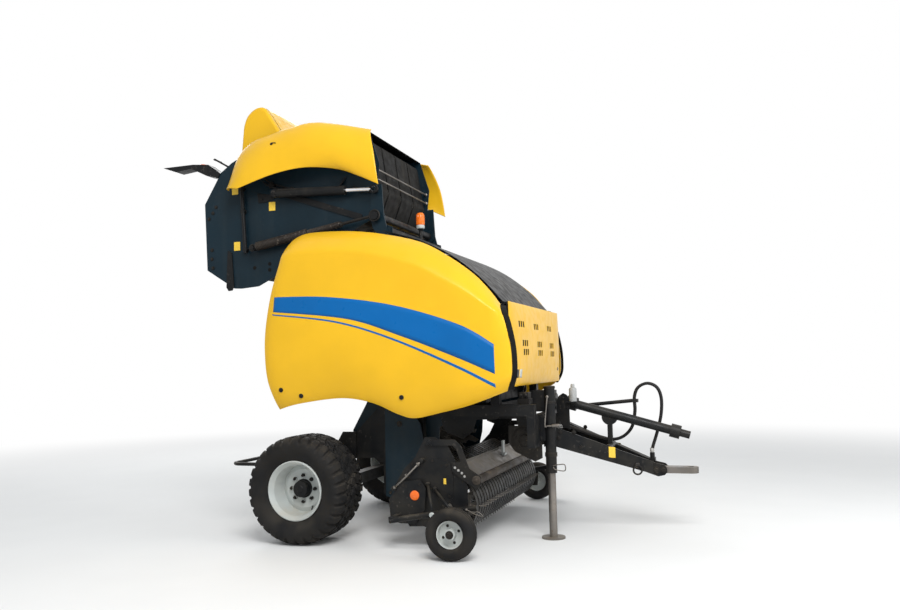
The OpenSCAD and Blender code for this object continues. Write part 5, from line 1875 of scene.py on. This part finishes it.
@dataclass
class FrontTrim:
    """Guard over the shaft's joint, canister, valve unit, gear plate and the jack's fittings."""

    guard: Profile = (
        (1.924, 0.989), (1.927, 1.074), (1.946, 1.124), (1.985, 1.149), (2.019, 1.132), (2.039, 1.09),
        (2.036, 0.989), (2.039, 0.838), (1.964, 0.879))
    guard_y: Flat = (-0.153, -0.147)
    guard_bolts: Profile = ((2.016, 1.027), (1.985, 1.11))
    canister: Profile = (
        (0.03, 0), (0.0325, 0.004), (0.0325, 0.104), (0.028, 0.113), (0.017, 0.118), (0.017, 0.14),
        (0.013, 0.147))
    canister_foot: Point = (2.0685, -0.15, 1.077)
    knob: Profile = ((0.016, 0), (0.016, 0.01), (0.01, 0.014), (0.01, 0.024), (0.006, 0.026))
    knob_y: float = -0.6152
    knobs: Profile = ((1.732, 1.15), (1.772, 1.15))
    # Gear cover and its round plate.
    gear_cover: Profile = (
        (1.59, 0.9), (1.87, 0.9), (1.87, 0.64), (1.81, 0.61), (1.74, 0.64), (1.64, 0.69),
        (1.59, 0.76))
    gear_y: Flat = (-0.5003, -0.4965)
    gear_seat: Point = (1.725, -0.5003, 0.781)
    gear_disc: Profile = (
        (0.11, 0), (0.11, 0.006), (0.104, 0.009), (0.05, 0.01), (0.046, 0.022), (0.04, 0.025))
    gear_bolts: int = 5
    gear_bolt_circle: float = 0.08
    # Jack: its x and y, its collars as profile, height and whether it leaves the tube free.
    jack: Flat = (1.935, -0.47)
    jack_collars: tuple[tuple[str, Profile, float, bool], ...] = (
        ("clamp", ((0.0442, 0), (0.05, 0.001), (0.05, 0.033), (0.0442, 0.034)), 0.65, True),
        ("collar", ((0.0442, 0), (0.0485, 0.001), (0.0485, 0.017), (0.0442, 0.018)), 1.08, True),
        ("cap", ((0.0455, 0), (0.0475, 0.004), (0.0475, 0.014), (0.04, 0.02), (0.01, 0.022)),
         1.2003, False))
    # Bent wires of the jack: x, distance to the right of the jack's middle, z.
    crank: tuple[Point, ...] = (
        (1.925, 0.046, 1.132), (1.921, 0.052, 1.092), (1.903, 0.06, 0.907), (1.925, 0.062, 0.899),
        (1.992, 0.062, 0.903))
    pin: tuple[Point, ...] = (
        (1.955, 0.04, 0.582), (2.01, 0.046, 0.592), (2.052, 0.046, 0.59), (2.05, 0.046, 0.543),
        (1.975, 0.046, 0.552), (1.958, 0.044, 0.572))
    grip: Profile = ((0.01, 0), (0.013, 0.004), (0.013, 0.06), (0.01, 0.064))
    grip_place: Point = (1.96, 0.062, 0.9015)
    boss: Profile = ((0.012, 0), (0.012, 0.018), (0.009, 0.02))
    boss_place: Point = (1.925, 0.036, 1.132)

    def build(self) -> None:
        """Builds the pieces at the front."""
        outer, inner = self.guard_y
        seats = [at(x, outer, z) for x, z in self.guard_bolts]
        guard = [side_plate("leaf", self.guard, outer, inner, 0.0015),
                 slab("guard_arm", (1.8605, -0.149, 0.88), (1.95, -0.137, 0.98)),
                 bolt_heads("guard_bolt", seats, -ACROSS, 0.008)]
        fit("shaft_guard", guard, "frame", BLACK)
        canister = lathed("grease_canister", self.canister, at(*self.canister_foot), UP, 36)
        add_piece(canister, "frame", CANISTER)
        seat = slab("canister_seat", (2.01, -0.182, 1.066), (2.1, -0.118, 1.0772), 0.002)
        add_piece(seat, "frame", BLACK)
        valve = [slab("valve_foot", (1.705, -0.625, 1.08), (1.8, -0.5, 1.125)),
                 slab("valve_body", (1.712, -0.615, 1.1252), (1.792, -0.51, 1.175), 0.004),
                 *(lathed("knob", self.knob, at(x, self.knob_y, z), -ACROSS, 24)
                   for x, z in self.knobs)]
        fit("valve_unit", valve, "frame", DARK_IRON)
        self.gear_plate()
        self.jack_trim()

    def gear_plate(self) -> None:
        """Cover and round plate with its bolts on the frame."""
        seat = at(*self.gear_seat)
        spots = ring_places(seat - ACROSS * 0.009, self.gear_bolt_circle, self.gear_bolts, 0.3)
        parts = [side_plate("cover", self.gear_cover, *self.gear_y, 0.001),
                 lathed("plate", self.gear_disc, seat, -ACROSS, 48),
                 bolt_heads("gear_bolts", spots, -ACROSS, 0.011)]
        fit("gear_plate", parts, "frame", DARK_IRON)

    def by_jack(self, x: float, right: float, z: float) -> Vector:
        """Point of the frame at a distance to the right of the jack's middle."""
        return at(x, self.jack[1] - right, z)

    def jack_trim(self) -> None:
        """Crank, collar, clamp, cap and locking pin of the jack."""
        collars = [lathed(name, profile, at(*self.jack, z), UP, 36, ring)
                   for name, profile, z, ring in self.jack_collars]
        fit("jack_collars", collars, "frame", DARK_IRON)
        crank, pin = ([self.by_jack(*place) for place in wire] for wire in (self.crank, self.pin))
        wires = [tube("crank", rounded_path(crank, 40), 0.0065, 10),
                 tube("pin", rounded_path(pin, 40), 0.0042, 8),
                 lathed("grip", self.grip, self.by_jack(*self.grip_place), Vector((1, 0, 0.06)), 20),
                 lathed("boss", self.boss, self.by_jack(*self.boss_place), -ACROSS, 20)]
        fit("jack_crank", wires, "frame", STEEL)


@dataclass
class SideTrim(Sided):
    """Cover fixings, the plate beside the feed and the ring of the rod's eye on one side."""

    cover_y: float = 0.7533
    cap: Profile = ((0.024, 0), (0.024, 0.004), (0.017, 0.007), (0.015, 0.014), (0.006, 0.016))
    cap_place: Point = (0.73, 0.7533, 0.931)
    cover_bolts: Profile = ((0.65, 1.035), (0.79, 1.035), (0.64, 0.37), (0.83, 0.52))
    guard: Profile = (
        (1.02, 1.085), (1.54, 1.085), (1.56, 0.99), (1.52, 0.958), (1.36, 0.958), (1.325, 0.86),
        (1.24, 0.8), (1.08, 0.86))
    guard_bolts: Profile = ((1.06, 1.05), (1.3, 1.05), (1.5, 1.05), (1.25, 0.83))
    guard_stretch: float = 1.0065
    eye: Profile = ((0.0215, -0.0168), (0.0385, -0.0168), (0.0385, 0.0168), (0.0215, 0.0168))
    eye_rise: float = 0.23

    def build(self) -> None:
        """Builds the pieces of this side."""
        cap = self.turned("cap", self.cap, self.spot(*self.cap_place), 28)
        spots = [self.spot(x, self.cover_y, z) for x, z in self.cover_bolts]
        heads = bolt_heads("cover_bolts", spots, self.out, 0.0105)
        fit(f"cover_fixings_{self.word}", [cap, heads], "frame", DARK_IRON)
        inner = self.side.value * GATE_FACE
        outer = inner * self.guard_stretch
        leaf = side_plate("leaf", self.guard, inner, outer, 0.0012)
        heads = bolt_heads("guard_heads", [at(x, outer, z) for x, z in self.guard_bolts], self.out, 0.0095)
        fit(f"feed_guard_{self.word}", [leaf, heads], "frame", BLACK)
        seat = self.spot(GATE_PIVOT[0], SPRING_Y, GATE_PIVOT[1] + self.eye_rise)
        add_piece(lathed(f"rod_eye_{self.word}", self.eye, seat, self.out, 40, True),
                  f"rod_{self.word}", BLACK)


@dataclass
class Studio:
    """Camera, lamps, world and floor."""

    focal: float = 833 / 900 * 36
    sensor: float = 36
    yaw: float = math.radians(18.6)
    pitch: float = math.radians(4.1)
    roll: float = math.radians(-1.3)
    place: Point = (3.36, -7.19, 1.41)
    # Lamps: name, place, target, edge in metres, power in watts.
    lamps: tuple[tuple[str, Point, Point, float, float], ...] = (
        ("sun_side", (3.5, -6.5, 7.0), (0, 0, 1.2), 4.0, 620),
        ("far_side", (-5.0, 6.0, 6.0), (0, 0, 1.5), 5.0, 300),
        ("front_fill", (7.5, -1.5, 3.5), (0, 0, 1.2), 4.0, 170))
    soft_light: Point = (0.92, 0.96, 1.0)
    soft_strength: float = 0.52
    floor_half: float = 60.0
    floor_shade: Cloud = Cloud(1.5, 3)
    floor_colours: tuple[Point, Point] = ((0.8, 0.8, 0.79), (0.84, 0.84, 0.83))
    fade: Flat = (4.5, 13.0)

    def camera(self) -> None:
        """Sets the camera at the photograph's view."""
        flat = math.cos(self.pitch)
        ahead = Vector((-math.sin(self.yaw) * flat, math.cos(self.yaw) * flat, math.sin(self.pitch)))
        right = Vector((math.cos(self.yaw), math.sin(self.yaw), 0))
        up = right.cross(ahead)
        c, s = math.cos(self.roll), math.sin(self.roll)
        right, up = c * right + s * up, -s * right + c * up
        data = bpy.data.cameras.new("camera")
        data.lens = self.focal
        data.sensor_width = self.sensor
        data.sensor_fit = "HORIZONTAL"
        obj = put_in("camera", data)
        turn = Matrix((right, up, -ahead)).transposed().to_4x4()
        obj.matrix_world = Matrix.Translation(at(*self.place)) @ turn
        bpy.context.scene.camera = obj

    def lamp(self, name: str, place: Point, target: Point, size: float, power: float) -> None:
        """Adds one soft area lamp.

        Args:
            name: its name.
            place: where it hangs.
            target: where it points.
            size: its edge, in metres.
            power: its power, in watts.
        """
        data = bpy.data.lights.new(name, "AREA")
        data.shape = "SQUARE"
        data.size = size
        data.energy = power
        obj = put_in(name, data)
        obj.location = place
        obj.rotation_euler = (Vector(target) - Vector(place)).to_track_quat("-Z", "Y").to_euler()

    def background(self) -> None:
        """White for the camera and reflections, soft light for the rest."""
        world = bpy.data.worlds.new("studio")
        bpy.context.scene.world = world
        world.use_nodes = True
        tree = world.node_tree
        tree.nodes.clear()
        paths = tree.nodes.new("ShaderNodeLightPath")
        white = paths.outputs["Is Camera Ray"]
        for ray in ("Is Glossy Ray", "Is Transmission Ray"):
            either = tree.nodes.new("ShaderNodeMath")
            either.operation = "MAXIMUM"
            tree.links.new(white, either.inputs[0])
            tree.links.new(paths.outputs[ray], either.inputs[1])
            white = either.outputs[0]
        mixed, out = tree.nodes.new("ShaderNodeMixShader"), tree.nodes.new("ShaderNodeOutputWorld")
        tree.links.new(white, mixed.inputs[0])
        for slot, colour, strength in ((1, self.soft_light, self.soft_strength), (2, (1, 1, 1), 1.0)):
            glow = tree.nodes.new("ShaderNodeBackground")
            glow.inputs["Color"].default_value = (*colour, 1)
            glow.inputs["Strength"].default_value = strength
            tree.links.new(glow.outputs[0], mixed.inputs[slot])
        tree.links.new(mixed.outputs[0], out.inputs["Surface"])

    def floor(self) -> None:
        """Pale floor that fades to white far from the machine."""
        corners = [(x, y, 0) for x, y in rectangle(self.floor_half, self.floor_half)]
        obj = new_object("floor", corners, [(0, 1, 2, 3)], False)
        bench = NodeBench("floor")
        bench.shader.inputs["Roughness"].default_value = 0.9
        bench.shader.inputs["Specular IOR Level"].default_value = 0.1
        grey = bench.mix(bench.noise(self.floor_shade), *self.floor_colours)
        bench.link(grey, bench.shader.inputs["Base Color"])
        distance = bench.add("ShaderNodeVectorMath", operation="LENGTH")
        bench.link(bench.place.outputs["Object"], distance.inputs[0])
        fade = bench.spread(distance.outputs["Value"], *self.fade)
        rays = bench.add("ShaderNodeLightPath")
        seen = bench.math("MAXIMUM", rays.outputs["Is Camera Ray"], rays.outputs["Is Glossy Ray"])
        share = bench.times(fade, seen)
        white = bench.add("ShaderNodeEmission")
        mixed = bench.add("ShaderNodeMixShader")
        out = bench.tree.nodes["Material Output"]
        for slot, source in enumerate((share, bench.shader.outputs[0], white.outputs[0])):
            bench.link(source, mixed.inputs[slot])
        bench.link(mixed.outputs[0], out.inputs["Surface"])
        obj.data.materials.append(bench.material)

    def build(self) -> None:
        """Sets up the whole studio."""
        self.camera()
        self.background()
        self.floor()
        for lamp in self.lamps:
            self.lamp(*lamp)
        bpy.context.scene.view_settings.view_transform = "Standard"


def main() -> None:
    """Builds and dresses everything in order."""
    logging.basicConfig(level=logging.INFO, format="%(message)s")
    Studio().build()
    FreeHoses().build()
    NodeDress().dress()
    for side in Side:
        for assembly in (SideShield, GatePanel, GateSpring, Tyre, GaugeWheel, GateFittings, PickupTrim,
                         SideTrim):
            assembly(side).build()
    WindGuard().build()
    GateTubes().build()
    for side in Side:
        DrawbarTrim(side).build()
    for assembly in (FrontTrim, FrontPanel, GateHood, Beacon):
        assembly().build()


if __name__ == "__main__":
    main()
